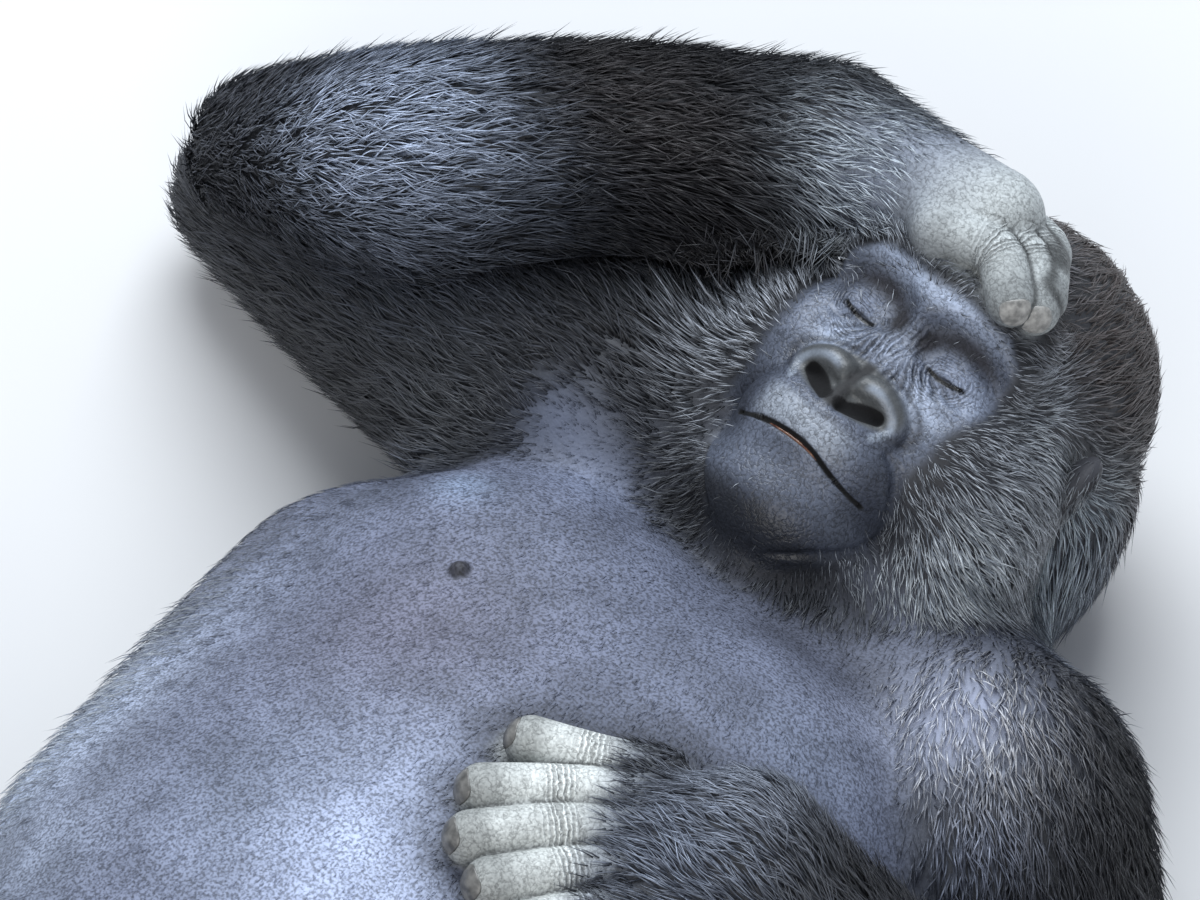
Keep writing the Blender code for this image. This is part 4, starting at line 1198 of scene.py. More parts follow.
def painted(name, colour, **finish):
    """A material whose colour is what that function makes in its tree, with plain numbers on the shader."""
    made, tree, shader = material(name)
    tree.links.new(shader.inputs["Base Color"], colour(tree))
    for socket, value in finish.items():
        shader.inputs[socket.replace("_", " ")].default_value = value
    return made


print("sums:", [helper.__name__ for helper in (product, total, less, size_of, distance_of, wave)])

# %% [markdown]
# Wrinkles follow the face: rings round the lids, a fan over each cheek, upright folds at the root of the
# nose.  Each is the sine of a distance or an angle in the head's own frame, faded out at its ends.

# %% Wrinkles of the face
def face_lines(tree, place):
    """Wrinkles, and the painted shade in the slits between lids and lips: rings round the lids of each eye, a
    fan from each inner corner down over the cheek, and upright folds at the root of the nose, all in the
    head's own frame."""
    head = node(tree, "ShaderNodeMapping", [("Vector", place)])
    head.inputs["Rotation"].default_value = Matrix(HEAD_AXES.tolist()).to_euler()
    head.inputs["Location"].default_value = -(HEAD_AXES @ (EYES + SHIFT))
    x, y, _ = node(tree, "ShaderNodeSeparateXYZ", [("Vector", head.outputs[0])]).outputs
    wobble, patches = noise(tree, place, 130.0, 2.0), noise(tree, place, 95.0, 2.0)
    across = size_of(tree, x)
    beside = less(tree, across, EYE_SPACING / 2)
    over = total(tree, y, 0.0036, product(tree, beside, -0.10))
    over = less(tree, over, product(tree, beside, beside, 14.0))
    ring = distance_of(tree, beside, product(tree, over, 1.35))
    rings = product(tree, wave(tree, ring, 2200.0, wobble, 9.0), ramped(tree, ring, 0.006, 0.010),
                    ramped(tree, ring, 0.030, 0.018), ramped(tree, patches, 0.35, 0.60))
    side, down = less(tree, across, 0.008), less(tree, y, 0.010)
    reach, angle = distance_of(tree, side, down), maths(tree, "ARCTAN2", down, side)
    fan = product(tree, wave(tree, angle, 34.0, wobble, 6.0), ramped(tree, reach, 0.010, 0.018),
                  ramped(tree, reach, 0.055, 0.034), ramped(tree, y, -0.004, -0.011))
    upright = product(tree, wave(tree, x, 1500.0, wobble, 8.0), ramped(tree, across, 0.016, 0.010),
                      ramped(tree, y, -0.024, -0.015), ramped(tree, y, 0.022, 0.012),
                      ramped(tree, patches, 0.30, 0.65, 0.25, 1.0))
    # painted shade in the slits between the lids and between the lips
    slit = product(tree, ramped(tree, size_of(tree, over), 0.0018, 0.0008),
                   ramped(tree, size_of(tree, beside), 0.0150, 0.0115))
    middle = 0.0
    for factor in np.polyfit(*np.array(MOUTH).T, 4):
        middle = total(tree, product(tree, middle, x), float(factor))
    mouth = product(tree, ramped(tree, size_of(tree, less(tree, y, middle)), 0.0019, 0.0009),
                    ramped(tree, size_of(tree, less(tree, x, MIDLINE)), 0.054, 0.047))
    return total(tree, product(tree, rings, 0.6), fan, upright), maths(tree, "MAXIMUM", slit, mouth)


print("the line of the mouth goes through", len(MOUTH), "places")

# %% The skin's material
def bumped(tree, height, strength, depth, *under):
    """The normal over that height, on top of another bump where one is given."""
    bump = node(tree, "ShaderNodeBump", [("Height", height), *(("Normal", normal) for normal in under)])
    bump.inputs["Strength"].default_value, bump.inputs["Distance"].default_value = strength, depth
    return bump.outputs[0]


def skin_material():
    """Stored colour and painted light, with mottle, stipple and wrinkles, roughness from the finish, bump
    from the same.
    """
    made, tree, shader = material("skin")
    place = object_place(tree)
    rough, stipple, wrinkle = parts_of(tree, stored(tree, "finish"))
    # the third number of the folds is the painted shade between digits
    along, near_joint, between_shade = parts_of(tree, stored(tree, "folds"))
    lines, slit = face_lines(tree, place)
    joint = wave(tree, along, 1.0, noise(tree, place, 180.0, 2.0), 7.0)
    lines = total(tree, product(tree, lines, wrinkle), product(tree, joint, near_joint))
    mottle = ramped(tree, noise(tree, place, 24.0, 5.0), 0.25, 0.75, 0.78, 1.22)
    dots = less(tree, 1.0, noise(tree, place, 420.0, kind="ShaderNodeTexVoronoi"), True)
    dots = maths(tree, "POWER", dots, 3.0)
    grain = noise(tree, place, 900.0, 4.0)
    speck = ramped(tree, noise(tree, place, 520.0, 2.0), 0.34, 0.62, -0.42, 0.36)
    net = size_of(tree, less(tree, noise(tree, place, 190.0, 4.0), 0.5))
    tone = total(tree, 1.0, product(tree, stipple, less(tree, speck, product(tree, dots, 0.35))))
    tone = product(tree, tone, total(tree, 1.0, product(tree, lines, 0.42)), mottle)
    # darker wrinkles, and painted shade in the slits of lids and lips and between the digits
    for dark in (product(tree, ramped(tree, net, 0.05, 0.0), wrinkle, 0.50),
                 product(tree, slit, wrinkle, 0.97), product(tree, between_shade, 0.72)):
        tone = product(tree, tone, less(tree, 1.0, dark))
    tree.links.new(shader.inputs["Base Color"], tinted(tree, stored(tree, "marking"), tone))
    tree.links.new(shader.inputs["Roughness"], total(tree, rough, product(tree, grain, 0.06)))
    leather = total(tree, noise(tree, place, 260.0, 3.0), product(tree, dots, -0.5))
    creases = product(tree, maths(tree, "MINIMUM", net, 0.09), wrinkle, 7.0)
    fine = bumped(tree, total(tree, leather, creases, product(tree, grain, 0.35)), 0.6, 0.0006)
    tree.links.new(shader.inputs["Normal"], bumped(tree, lines, 0.8, 0.0008, fine))
    shader.inputs["Specular IOR Level"].default_value = 0.45
    return made


skin.data.materials.append(skin_material())
print("skin material:", len(skin.data.materials[0].node_tree.nodes), "nodes")

# %% [markdown]
# ## The coat
# A tuft is a closed blade of ten triangles: three points round its root, three round its middle and a tip.
# Roots are drawn at random over the skin, close together where the coat is thick.  The middle and the tip
# are then set at chosen heights over the field, so that the tufts lie along the body, bend over its forms
# and never sink in.

# %% How long and how close
# a part's tufts: their length, the space between them and the height of their tips, in metres
COAT = {"chest": (0.0060, 0.0052, 0.0009), "belly": (0.0075, 0.0048, 0.0012), "neck": (0.018, 0.0038, 0.006),
        "head": (0.018, 0.0023, 0.005), "ear": (0.011, 0.0036, 0.002), "arm_r": (0.034, 0.0033, 0.0105),
        "forearm_r": (0.030, 0.0028, 0.0100), "hand_r": (0.016, 0.0030, 0.005),
        "arm_l": (0.030, 0.0032, 0.0105), "forearm_l": (0.026, 0.0027, 0.0095),
        "hand_l": (0.018, 0.0028, 0.006)}
# where each part begins and ends
BONES = {"chest": ((0.02, 0.02, 0.11), (0.02, -0.40, 0.13)),
         "belly": ((0.07, -0.30, 0.15), (0.065, -0.78, 0.13)),
         "neck": ((0.0, 0.16, 0.10), (0.01, -0.02, 0.10)),
         "head": (in_head(0, 0.13, -0.11), in_head(0, -0.16, -0.05)),
         "ear": (in_head(0, 0.03, -0.09), in_head(0, -0.03, -0.09)),
         "arm_r": (SHOULDER_R, ELBOW_R), "forearm_r": (FOREARM_R[0], WRIST_R),
         "hand_r": (WRIST_R, (0.06, 0.20, 0.33)),
         "arm_l": (SHOULDER_L, ELBOW_L), "forearm_l": (ELBOW_L, WRIST_L),
         "hand_l": (WRIST_L, (0.10, -0.33, 0.34))}
for s, hip, knee, ankle in (("r", HIP_R, KNEE_R, ANKLE_R), ("l", HIP_L, KNEE_L, ANKLE_L)):
    sole = np.array(ankle) + (0, -0.19, -0.06)
    for name, row, bone in (("thigh_", (0.032, 0.0052, 0.012), (hip, knee)),
                            ("shank_", (0.030, 0.0052, 0.011), (knee, ankle)),
                            ("foot_", (0.007, 0.0090, 0.001), (ankle, sole))):
        COAT[name + s], BONES[name + s] = row, bone
LENGTH, SPACING, HEIGHT = ({name: row[k] for name, row in COAT.items()} for k in range(3))
print("longest coat:", max(LENGTH, key=LENGTH.get), max(LENGTH.values()) * 1000, "mm")

# %% Which way it lies
def by_part(table, share):
    """A part's number from a table, mixed by the shares."""
    return np.array([table[name] for name in PARTS]) @ share


def waves(points, size, turn_by):
    """A smooth number from -1 to 1 that changes over that many metres."""
    k = 2 * np.pi / size
    a = points @ np.array([1.0, 0.4, -0.3]) * k + turn_by
    b = points @ np.array([-0.5, 1.1, 0.4]) * k * 1.3 + turn_by * 2.1
    c = points @ np.array([0.3, -0.6, 1.2]) * k * 0.8 + turn_by * 3.7
    return (np.sin(a + 1.3 * np.sin(b)) + np.sin(b + 1.1 * np.sin(c))) / 2


def lie(points, normals, share):
    """The way the coat runs: down each limb, out and down over the trunk, on the head away from the face."""
    bones = np.array([np.subtract(end, start) for start, end in (BONES[name] for name in PARTS)])
    way = share.T @ unit(bones)
    trunk = weight_of(share, "chest", "belly")[:, None]
    out = np.full((len(points), 3), (0.0, -0.75, -0.3))
    out[:, 0] = (points[:, 0] - 0.03) * 3.2
    way = way * (1 - trunk) + out * trunk
    head, face = of_head(points), weight_of(share, "head")[:, None]
    away = unit(np.stack([head[:, 0], head[:, 1] + 0.045, np.full(len(head), -0.055)], 1)) @ HEAD_AXES
    way = way * (1 - face) + away * face
    way = way + 1.8 * hanging(points, share)[:, None] * np.array([0.57, -0.56, -0.60])
    way = way - (way * normals).sum(1, keepdims=True) * normals
    across = np.cross(normals, unit(way))
    swirl = 0.30 * waves(points, 0.05, 0.4) + 0.22 * waves(points, 0.017, 2.2)
    return unit(unit(way) + across * swirl[:, None])


print("way of the coat on the chest:", unit(np.subtract(*BONES["chest"][::-1])).round(2))

# %% Where it is long, short or bare
FLANK = (-0.195, -0.420, 0.190), (0.055, 0.190, 0.055)
BY_THE_EAR = (-0.145, 0.112, 0.240), (0.088, 0.056, 0.056)
SHORT = (((-0.100, -0.060, 0.24), (0.050, 0.032, 0.05), 1.0),
         ((0.185, -0.042, 0.23), (0.040, 0.046, 0.05), 0.20))


def hanging(points, share):
    """Where hair hangs from the right forearm (1) or stands up to meet it, on shoulder and head (below 0)."""
    lower = weight_of(share, "arm_r", "neck") + 0.5 * weight_of(share, "head", "ear")
    near = np.clip(1.5 * spot(points, *BY_THE_EAR), 0, 1)
    return near * (weight_of(share, "forearm_r", "hand_r") - lower)


def flank_hair(points, share):
    """Where paler and longer hair stands along the right side of the belly."""
    return np.clip(1.6 * spot(points, *FLANK), 0, 1) * weight_of(share, "chest", "belly")


def thin_coat(points, share):
    """Where the skin shows through: the front of the trunk, and patches at its edges."""
    here = weight_of(share, "chest", "belly") * (1 - trunk_sides(points, share))
    here = here * (1 - 0.75 * flank_hair(points, share))
    patches = sum(1.6 * amount * spot(points, centre, radii) for centre, radii, amount in SHORT)
    return np.clip(np.maximum(here, patches), 0, 1)


def coat_length(points, share):
    """Tuft lengths: shortest round the face, longer towards crown and nape, and long on the trunk's sides."""
    m = head_masks(points, share)
    size = by_part(LENGTH, share)
    by_face = 0.007 + 0.022 * np.clip(m["rim"], 0, 1) + 0.004 * m["crown"]
    size = size * (1 - m["head"]) + by_face * m["head"]
    thin = thin_coat(points, share) * (1 - m["head"])
    mantle = spot(points, (-0.190, 0.115, 0.16), (0.06, 0.06, 0.06)) * (1 - m["head"])
    mantle = mantle + 0.5 * m["head"] * spot(of_head(points), (-0.100, 0.000, -0.080), (0.03, 0.05, 0.03))
    size = size * (1 - thin) + 0.0070 * thin + 0.020 * trunk_sides(points, share) + 0.025 * mantle
    return size + 0.034 * np.abs(hanging(points, share)) + 0.013 * flank_hair(points, share)


def coat_density(points, share):
    """Tufts to the square metre: none on the bare face, palms and fingers, thick on limbs and head."""
    m = head_masks(points, share)
    spacing = np.exp(by_part({name: math.log(value) for name, value in SPACING.items()}, share))
    spacing = spacing + (0.0048 - spacing) * trunk_sides(points, share)
    spacing = spacing * (1 + 0.5 * m["crown"]) * (1 - 0.35 * np.abs(hanging(points, share)))
    hidden = fade(-points[:, 2], -0.030, -0.008)
    bare = np.maximum(m["bare"], weight_of(share, "foot_r", "foot_l") > 0.75)
    bare = np.maximum(bare, on_hand(points, share, "r", 0.040, 0.095))
    bare = np.maximum(bare, on_hand(points, share, "l", 0.068, 0.090))
    bare = np.maximum(bare, np.linalg.norm(points - NIPPLE, axis=1) < 0.011)
    return (1 - 0.8 * hidden) * (1 - bare) / spacing ** 2


print("closest coat:", min(SPACING, key=SPACING.get), min(SPACING.values()) * 1000, "mm apart")

# %% [markdown]
# A hair is dark at its root and paler towards its tip, most of all where the coat is silver.  So a tuft has
# two colours, and both move to the colours of the spots and zones it stands on.

# %% Colours of the coat
COAT_SPOTS = (      # centre, radii, colour at the root, colour at the tip and strength
    # painted sheen on the right arm's fur, in this row and the next
    ((-0.375, -0.005, 0.26), (0.095, 0.065, 0.070), (0.085, 0.098, 0.122), (0.58, 0.67, 0.86), 0.90),
    ((-0.345, 0.020, 0.30), (0.060, 0.045, 0.040), (0.110, 0.128, 0.160), (0.62, 0.72, 0.92), 0.80),
    ((-0.090, 0.148, 0.34), (0.055, 0.055, 0.060), (0.190, 0.215, 0.270), (0.82, 0.92, 1.00), 0.95),
    ((-0.230, 0.095, 0.33), (0.115, 0.045, 0.060), (0.012, 0.011, 0.012), (0.060, 0.055, 0.058), 0.85),
    ((-0.470, 0.020, 0.15), (0.080, 0.080, 0.080), (0.020, 0.022, 0.028), (0.100, 0.110, 0.140), 0.60),
    ((0.193, -0.225, 0.35), (0.045, 0.040, 0.050), (0.120, 0.135, 0.170), (0.56, 0.62, 0.74), 0.85),
    ((0.205, -0.280, 0.34), (0.050, 0.040, 0.050), (0.085, 0.097, 0.130), (0.42, 0.48, 0.60), 0.80),
    ((0.245, -0.090, 0.23), (0.030, 0.035, 0.050), (0.070, 0.080, 0.110), (0.40, 0.45, 0.60), 0.70),
    # the left shoulder: pale hair with a painted sheen
    ((0.180, -0.040, 0.23), (0.055, 0.055, 0.050), (0.360, 0.400, 0.510), (1.00, 1.00, 1.00), 0.98),
    ((0.105, 0.140, 0.14), (0.050, 0.060, 0.060), (0.220, 0.265, 0.320), (0.95, 1.00, 1.00), 0.95),
    # painted shade on the underside of the right forearm
    ((-0.155, 0.090, 0.270), (0.075, 0.030, 0.035), (0.008, 0.008, 0.010), (0.030, 0.030, 0.036), 0.85),
    (*FLANK, (0.330, 0.375, 0.460), (0.95, 1.00, 1.00), 0.95))


def coat_colour(points, share):
    """Colours of a tuft's root and tip, from the same masks as the skin, painted sheen and shade included."""
    m = head_masks(points, share)
    skin_tone = skin_marks_and_light(points, share)[0]
    thin = thin_coat(points, share) * (1 - m["head"])
    sides, head = trunk_sides(points, share), of_head(points)
    silver = 4 * sides * (1 - sides)
    cheek = 1.3 * spot(head, (0.098, -0.100, -0.030), (0.030, 0.055, 0.040))
    temple = 0.7 * spot(head, (0.088, 0.010, -0.051), (0.020, 0.022, 0.030))
    pale = np.clip(m["head"] * (cheek + temple), 0, 0.9)
    nape = np.clip(1.3 * m["head"] * spot(head, (0.113, -0.031, -0.155), (0.030, 0.050, 0.045)), 0, 0.9)
    spots = [(tone_root, tone_tip, np.clip(amount * 1.3 * spot(points, *where), 0, 1) * (1 - m["head"]), 1.0)
             for *where, tone_root, tone_tip, amount in COAT_SPOTS]
    zones = [((0.045, 0.047, 0.053), (0.63, 0.68, 0.76), m["head"], 0.95),
             ((0.040, 0.042, 0.048), (0.34, 0.37, 0.42), weight_of(share, "ear"), 1.0),
             *spots,
             ((0.080, 0.092, 0.120), (0.40, 0.45, 0.56), 0.8 * silver, 0.85 / 0.8),
             ((0.185, 0.215, 0.265), (0.92, 0.98, 1.00), pale, 1.0),
             ((0.022, 0.014, 0.011), (0.085, 0.055, 0.042), m["crown"], 0.9),
             ((0.010, 0.011, 0.014), (0.030, 0.032, 0.040), m["throat"], 0.9),
             ((0.180, 0.220, 0.270), (0.85, 0.98, 1.00), nape, 1.0)]
    root, tip = (np.tile(colour, (len(points), 1)) for colour in (BLACK, DARK_TIP))
    for tone_root, tone_tip, here, at_tip in zones:
        root, tip = mixed(root, tone_root, here), mixed(tip, tone_tip, here * at_tip)
    return mixed(root, skin_tone * 0.75, thin), mixed(tip, skin_tone * 1.25, thin)


# %% Grow the tufts
TUFTS = 140_000
TUFT_FACES = np.array([(0, 2, 1), (0, 1, 4), (0, 4, 3), (1, 2, 5), (1, 5, 4), (2, 0, 3), (2, 3, 5), (3, 4, 6),
                       (4, 5, 6), (5, 3, 6)])
STRAY, CURL = 0.16, 0.10    # how far a tuft's way strays from the coat's, and its tip's from its own
MIDDLE_AT, BEYOND = 0.48, 0.55      # shares of a tuft's length up to its middle, and from there to its tip
LYING, HIGHER = 0.93, 0.7           # the share of tufts that lie down, and by how much the others are higher
MIDDLE_OVER_FLOOR, TIP_OVER_FLOOR = 0.0016, 0.0006


def rooted(count):
    """Random points of the skin, in proportion to area and to the coat's density, with normals and shares."""
    a, b, c = (points[triangles[:, i]] for i in range(3))
    area = np.linalg.norm(np.cross(b - a, c - a), axis=1) / 2
    middle = (a + b + c) / 3
    wanted = area * coat_density(middle, shares_at(middle))
    print("tufts wanted:", int(wanted.sum()), "of which grown:", count)
    pick = chance.choice(len(triangles), count, p=wanted / wanted.sum())
    u, v = np.sqrt(chance.random(count)), chance.random(count)
    roots = a[pick] * (1 - u)[:, None] + b[pick] * (u * (1 - v))[:, None] + c[pick] * (u * v)[:, None]
    slope, _ = slope_at(roots)
    return roots, unit(slope), shares_at(roots)


def at_height(places, height):
    """Points moved along the field's gradient until they are at that height over the skin."""
    slope, value = slope_at(places)
    steep = np.maximum((slope ** 2).sum(1), 0.3)
    return places + slope * ((height - value) / steep)[:, None]


roots, normals, root_share = rooted(TUFTS)
way = lie(roots, normals, root_share)
stray = chance.standard_normal((TUFTS, 3)) * STRAY
way = unit(way + stray - (stray * normals).sum(1, keepdims=True) * normals)
length = coat_length(roots, root_share) * chance.uniform(0.65, 1.25, TUFTS)
lift = by_part(HEIGHT, root_share) * (1 + 0.8 * trunk_sides(roots, root_share))
lift = lift + (0.0010 - lift) * thin_coat(roots, root_share) * (1 - weight_of(root_share, "head"))
lift = lift + 0.035 * np.abs(hanging(roots, root_share)) + 0.006 * flank_hair(roots, root_share)
lift = lift * chance.uniform(0.35, 1.0, TUFTS) * (1 + HIGHER * (chance.random(TUFTS) > LYING))
half_way = roots + way * (MIDDLE_AT * length)[:, None] + normals * (0.5 * lift)[:, None]
middle = at_height(half_way, 0.55 * lift)
along = unit(middle - roots)
bend = unit(along + 0.35 * way + chance.standard_normal((TUFTS, 3)) * CURL)
tips = at_height(middle + bend * (BEYOND * length)[:, None], lift)
middle[:, 2] = np.maximum(middle[:, 2], MIDDLE_OVER_FLOOR)
tips[:, 2] = np.maximum(tips[:, 2], TIP_OVER_FLOOR)
print("tufts:", TUFTS, "mean length", (length.mean() * 1000).round(1), "mm")

# %% A tuft's corners and its place on the map
WIDTH, ROOT_DEPTH = 0.0009, 0.0012     # half a tuft's width, and how deep its root goes, in metres
GRIZZLED = 0.55                         # share of the tufts with a light tip
ATLAS = 5, 4                            # cells of the map, across and up


def around(direction, normal, centre, radius):
    """Three points round the centre, across the direction: a flat triangle that lies on the skin."""
    side = unit(np.cross(direction, normal))
    up = np.cross(side, direction)
    return [centre + radius * (math.cos(a) * side + 0.55 * math.sin(a) * up) for a in (0.5, 2.6, 4.71)]


def unwrap(roots, share):
    """Each root's place on a map with a cell to each part: the angle round its bone, the way along it."""
    place = np.zeros((len(roots), 2))
    best = share.argmax(0)
    for row, name in enumerate(PARTS):
        mine = np.flatnonzero(best == row)
        a, b = (np.array(end, float) for end in BONES[name])
        bone, offset = unit(b - a), roots[mine] - a
        up = unit(np.cross(np.cross(bone, (0.1, 0.2, 1.0)), bone))
        angle = np.arctan2(offset @ np.cross(bone, up), offset @ up)
        run = (offset @ bone) / np.linalg.norm(b - a)
        cell = np.stack([angle / (2 * np.pi) + 0.5, np.clip((run + 0.5) / 2, 0, 1)], 1) * 0.94 + 0.03
        place[mine] = (cell + (row % ATLAS[0], row // ATLAS[0])) / ATLAS
    return place


print("map of", ATLAS[0] * ATLAS[1], "cells")

# %% Corners, colours and map of all tufts
width = WIDTH * chance.uniform(0.7, 1.3, TUFTS) * np.interp(length, (0.006, 0.012, 0.030), (0.33, 0.50, 0.86))
width = width * 1.0 * (1 + 0.9 * np.abs(hanging(roots, root_share)))
corners = np.stack(around(way, normals, roots - ROOT_DEPTH * normals, width[:, None])
                   + around(along, normals, middle, 0.7 * width[:, None]) + [tips], 1)
dark, light = coat_colour(roots, root_share)
vary = chance.uniform(0.6, 1.5, TUFTS)[:, None]
grizzle = (chance.random(TUFTS) < GRIZZLED)[:, None]
light = np.where(grizzle, light, 0.30 * light + 0.70 * dark) * vary
tone = np.stack([dark * 0.8] * 3 + [0.45 * dark + 0.55 * light] * 3 + [light], 1)
patch = np.array([(math.cos(a), math.sin(a)) for a in (0, 2.1, 4.2, 1.0, 3.1, 5.2)] + [(0, 0)]) * 0.0014
places = np.clip(unwrap(roots, root_share)[:, None, :] + patch, 0.001, 0.999)
print("corners:", corners.shape, "mean colour", tone.mean((0, 1)).round(3))

# %% [markdown]
# The tufts become one mesh to a region of the body, or two and more where there are many, so that no piece
# is too large to handle.

# %% Meshes, a region at a time
REGIONS = {"head": ("head", "ear"), "neck": ("neck",), "right_arm": ("arm_r", "hand_r"),
           "right_forearm": ("forearm_r",), "left_arm": ("arm_l",), "left_forearm": ("forearm_l", "hand_l"),
           "trunk": ("chest", "belly"), "right_leg": ("thigh_r", "shank_r", "foot_r"),
           "left_leg": ("thigh_l", "shank_l", "foot_l")}
MOST = 19_500       # tufts in a piece


def hair_colour(tree):
    """The tufts' own colours under a fine noise."""
    fine = total(tree, product(tree, noise(tree, object_place(tree), 700.0, 2.0), 0.8), 0.60)
    return tinted(tree, stored(tree, "marking"), fine)


def tuft_mesh(name, chosen):
    """One mesh of the chosen tufts with their colours and their map."""
    mesh = bpy.data.meshes.new(name)
    corner, count = corners[chosen].reshape(-1, 3) + SHIFT, len(chosen)
    faces = (TUFT_FACES[None] + 7 * np.arange(count)[:, None, None]).reshape(-1, 3)
    mesh.vertices.add(len(corner))
    mesh.vertices.foreach_set("co", corner.astype(np.float32).ravel())
    mesh.loops.add(faces.size)
    mesh.loops.foreach_set("vertex_index", faces.astype(np.int32).ravel())
    mesh.polygons.add(len(faces))
    mesh.polygons.foreach_set("loop_start", np.arange(0, faces.size, 3, dtype=np.int32))
    mesh.update(calc_edges=True)
    mesh.shade_smooth()
    add_colour(mesh, "marking", tone[chosen].reshape(-1, 3))
    flat = mesh.uv_layers.new(name="OFBake")
    flat.uv.foreach_set("vector", places[chosen].reshape(-1, 2)[faces.ravel()].astype(np.float32).ravel())
    return mesh


coat = painted("coat", hair_colour, Roughness=0.50, Specular_IOR_Level=0.5)
best = root_share.argmax(0)
coat_pieces = []
for region, names in REGIONS.items():
    mine = np.flatnonzero(np.isin(best, rows_of(*names)))
    for part, chosen in enumerate(np.array_split(mine, math.ceil(len(mine) / MOST))):
        name = f"coat_{region}_{part + 1}"
        piece = new_piece(name, tuft_mesh(name, chosen))
        piece.data.materials.append(coat)
        coat_pieces.append(piece)
grown = sum(len(piece.data.polygons) for piece in coat_pieces)
print("coat:", len(coat_pieces), "pieces,", grown, "triangles")

# %% [markdown]
# ## Eyes, nails and the line of the mouth
# The eyes are the frame's own balls behind the lids.  A nail is a thin plate bent over the end of its
# digit.

# %% Eye material on the frame's balls
def eye_colour(tree, centre):
    """Pale ball, brown iris with rays and dark pupil, by the angle from the eye's own axis."""
    offset = node(tree, "ShaderNodeVectorMath", [(0, object_place(tree))], operation="SUBTRACT")
    offset.inputs[1].default_value = centre
    facing = node(tree, "ShaderNodeVectorMath", [(0, offset.outputs[0])], operation="DOT_PRODUCT")
    facing.inputs[1].default_value = HEAD_AXES[2] / EYEBALL
    rays = product(tree, noise(tree, offset.outputs[0], 900.0, 3.0), 0.03)
    return coloured(tree, total(tree, facing.outputs["Value"], rays), (0.80, (0.55, 0.50, 0.46)),
                    (0.86, (0.10, 0.045, 0.02)), (0.985, (0.005, 0.004, 0.004)))


for name, node_object in frame["nodes"].items():
    if name.startswith("eye"):
        centre = node_object.matrix_world.inverted() @ Vector(np.array(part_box(name)).mean(0))
        for slot_row in node_object.material_slots:
            slot_row.material = painted("eye", lambda tree: eye_colour(tree, centre),
                                        Roughness=0.08, Coat_Weight=1.0)
        print(name, "at", [round(v, 3) for v in centre])

# %% Nails
NAIL_ROWS, NAIL_COLUMNS = 9, 12
NAIL_LEAN = {"hand_l": 60, "hand_r": 50, "foot_l": 36, "foot_r": 36}
NAIL_SHADE = {"hand_l": 0.42, "hand_r": 1.0, "foot_l": 0.55, "foot_r": 0.55}


def nail_points(curve, forward):
    """A flattened ball of points bent over the end of the digit, some degrees forward from its upper side."""
    end, radius = curve[-1, :3], curve[-1, 3]
    along = unit(end - curve[-3, :3])
    up = unit(np.array([0, 0, 1.0]) - along[2] * along)
    side = np.cross(along, up)
    lean = math.radians(forward)
    along, up = math.cos(lean) * along - math.sin(lean) * up, math.cos(lean) * up + math.sin(lean) * along
    polar, turn_about = np.meshgrid(np.linspace(0.02, np.pi - 0.02, NAIL_ROWS),
                                    np.arange(NAIL_COLUMNS) * 2 * np.pi / NAIL_COLUMNS, indexing="ij")
    long, wide = np.cos(polar), np.sin(polar) * np.cos(turn_about)
    thick = np.sin(polar) * np.sin(turn_about)
    long, wide = np.sign(long) * np.abs(long) ** 0.6, np.sign(wide) * np.abs(wide) ** 0.7
    run = 0.16 * radius + 0.58 * radius * long
    reach = np.sqrt(np.maximum(1 - (run / radius) ** 2, 0.05)) * radius + 0.0002 + 0.0009 * thick
    angle = 0.70 * wide[..., None]
    outward = np.sin(angle) * side + np.cos(angle) * up
    return (end + run[..., None] * along + reach[..., None] * outward).reshape(-1, 3)


def ball_faces(rows, columns):
    """Quads of a closed grid of rows round a ball, with a cap at each end."""
    i, j = np.meshgrid(np.arange(rows - 1), np.arange(columns), indexing="ij")
    a, b = i * columns + j, i * columns + (j + 1) % columns
    quads = np.stack([a, b, b + columns, a + columns], -1).reshape(-1, 4)
    caps = [list(range(columns))[::-1], list(range((rows - 1) * columns, rows * columns))]
    return quads, caps


def nail_colour(tree):
    """Pale horn with uneven streaks, darkened by the digit's own shade."""
    streaks = coloured(tree, noise(tree, object_place(tree), 160.0, 5.0), (0.35, (0.160, 0.158, 0.150)),
                       (0.75, (0.520, 0.510, 0.480)))
    return tinted(tree, streaks, parts_of(tree, stored(tree, "marking"))[0])


sheets = [nail_points(curve, NAIL_LEAN[part]) for part, curve in digits]
quads, caps = ball_faces(NAIL_ROWS, NAIL_COLUMNS)
faces = [[v + k * len(sheets[0]) for v in face] for k in range(len(sheets)) for face in quads.tolist() + caps]
nail_mesh = new_mesh("nails", np.concatenate(sheets) + SHIFT, faces)
nail_mesh.materials.append(painted("nail", nail_colour, Roughness=0.32))
shades = [[NAIL_SHADE[part]] * 3 for part, _ in digits]
add_colour(nail_mesh, "marking", np.repeat(shades, len(sheets[0]), axis=0))
nails = new_piece("nails", nail_mesh)
print("nails:", len(sheets))

# %% The wet line between the lips
TUBE_COLUMNS = 8
BETWEEN_LIPS = [(-0.034, -0.0918), (-0.020, -0.0903), (-0.004, -0.0893), (0.008, -0.0900), (0.016, -0.0915)]


def tube(curve):
    """The points of a round tube along a curve of points and radii."""
    run = unit(np.gradient(curve[:, :3], axis=0))
    side = unit(np.cross(run, HEAD_AXES[2]))
    up = np.cross(side, run)
    a = np.arange(TUBE_COLUMNS)[None, :, None] * 2 * np.pi / TUBE_COLUMNS
    ring = np.cos(a) * side[:, None] + np.sin(a) * up[:, None]
    return (curve[:, None, :3] + curve[:, None, 3:] * ring).reshape(-1, 3)


def mouth_colour(tree):
    """Dark red, mottled with paler spots."""
    return coloured(tree, noise(tree, object_place(tree), 300.0, 3.0), (0.35, (0.05, 0.014, 0.008)),
                    (0.70, (0.24, 0.12, 0.070)))


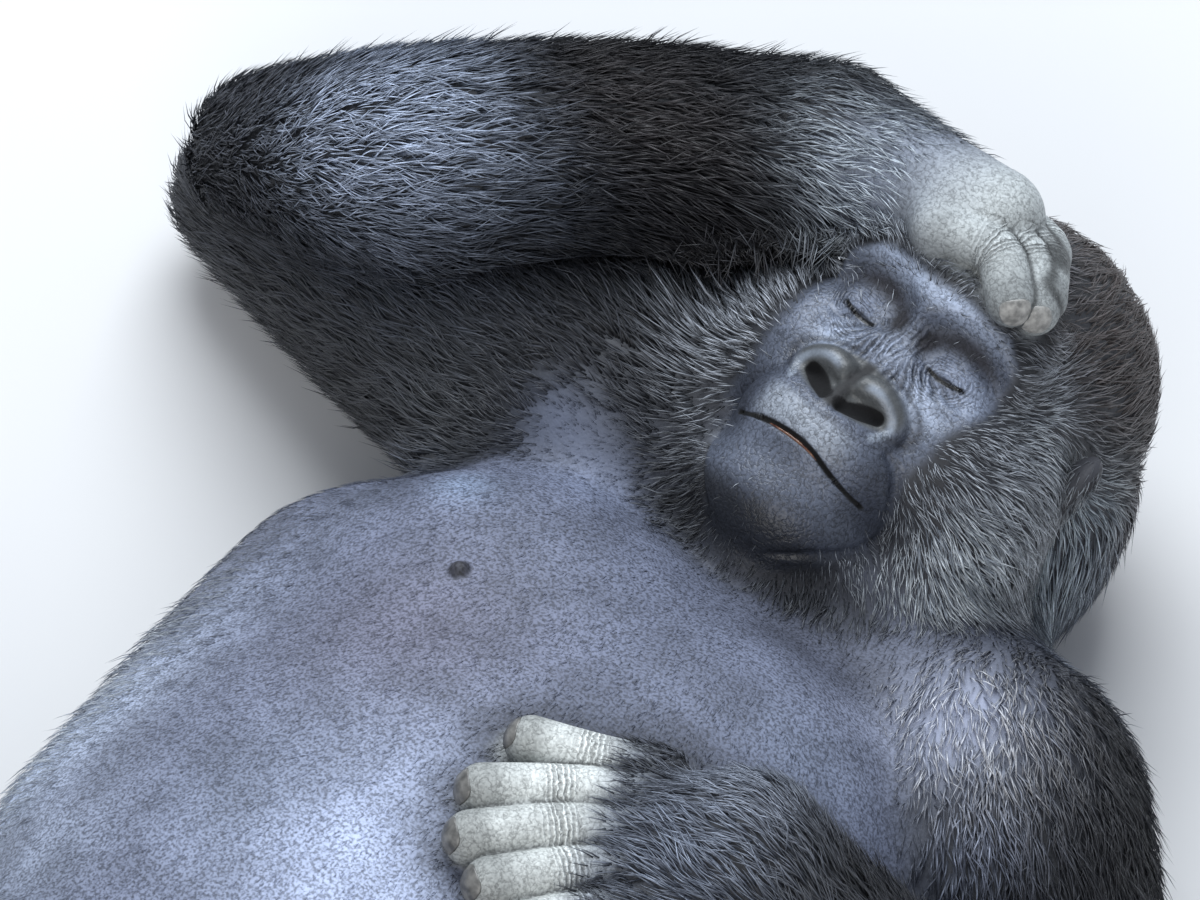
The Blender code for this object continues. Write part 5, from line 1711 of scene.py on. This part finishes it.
line = [in_head(*place) for place in on_face(BETWEEN_LIPS, 0.0001)]
line = curve_through(line, (0.0003, 0.0008, 0.0010, 0.0008, 0.0003), 5)
quads, caps = ball_faces(len(line), TUBE_COLUMNS)
lining_mesh = new_mesh("mouth_lining", tube(line) + SHIFT, quads.tolist() + caps)
lining_mesh.materials.append(painted("mouth", mouth_colour, Roughness=0.18))
lining = new_piece("mouth_lining", lining_mesh)
print("mouth lining:", len(lining_mesh.vertices), "points")

# %% [markdown]
# ## The studio
# A pale floor at z = 0, a large cool light above the head and a fainter one from the feet.

# %% Floor and light
floor_mesh = bpy.data.meshes.new("floor")
floor_mesh.from_pydata([(-9, -9, 0), (9, -9, 0), (9, 9, 0), (-9, 9, 0)], [], [(0, 1, 2, 3)])
floor = placed("floor", floor_mesh)
floor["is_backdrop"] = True


def floor_colour(tree):
    """A pale grey that hardly changes."""
    return total(tree, product(tree, noise(tree, object_place(tree), 3.0, 3.0), 0.04), 0.70)


floor_mesh.materials.append(painted("floor", floor_colour, Roughness=0.85))


def area_light(name, place, size, power, colour):
    """A square light at a place, turned to the middle of the animal."""
    lamp = bpy.data.lights.new(name, "AREA")
    lamp.size, lamp.energy, lamp.color = size, power, colour
    light = placed(name, lamp)
    light.location = place
    light.rotation_mode = "QUATERNION"
    light.rotation_quaternion = (Vector((0, 0.2, 0.2)) - Vector(place)).to_track_quat("-Z", "Y")


area_light("sky", (-1.4, 1.6, 3.2), 2.6, 150.0, (0.90, 0.95, 1.0))
area_light("fill", (1.8, -2.6, 2.4), 3.0, 85.0, (1.0, 0.98, 0.95))
world = bpy.data.worlds.new("room")
bpy.context.scene.world = world
world.use_nodes = True
world.node_tree.nodes["Background"].inputs["Color"].default_value = (0.80, 0.87, 1.0, 1.0)
world.node_tree.nodes["Background"].inputs["Strength"].default_value = 0.45
bpy.context.scene.view_settings.view_transform = "Standard"

# %% [markdown]
# ## Sizes
# The shown animal is measured again, next to the frame's own box.  Only tips of its coat may pass that box.

# %% Measure and finish
shown_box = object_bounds()
sizes = {"cad": [list(map(float, corner)) for corner in cad_box],
         "visual": [list(map(float, corner)) for corner in shown_box]}
print("CAD", np.array(sizes["cad"]).round(4).tolist())
print("visual", np.array(sizes["visual"]).round(4).tolist())
meshes = [piece.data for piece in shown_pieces() if piece.type == "MESH"]
print("triangles", sum(len(mesh.loop_triangles) or len(mesh.polygons) for mesh in meshes))
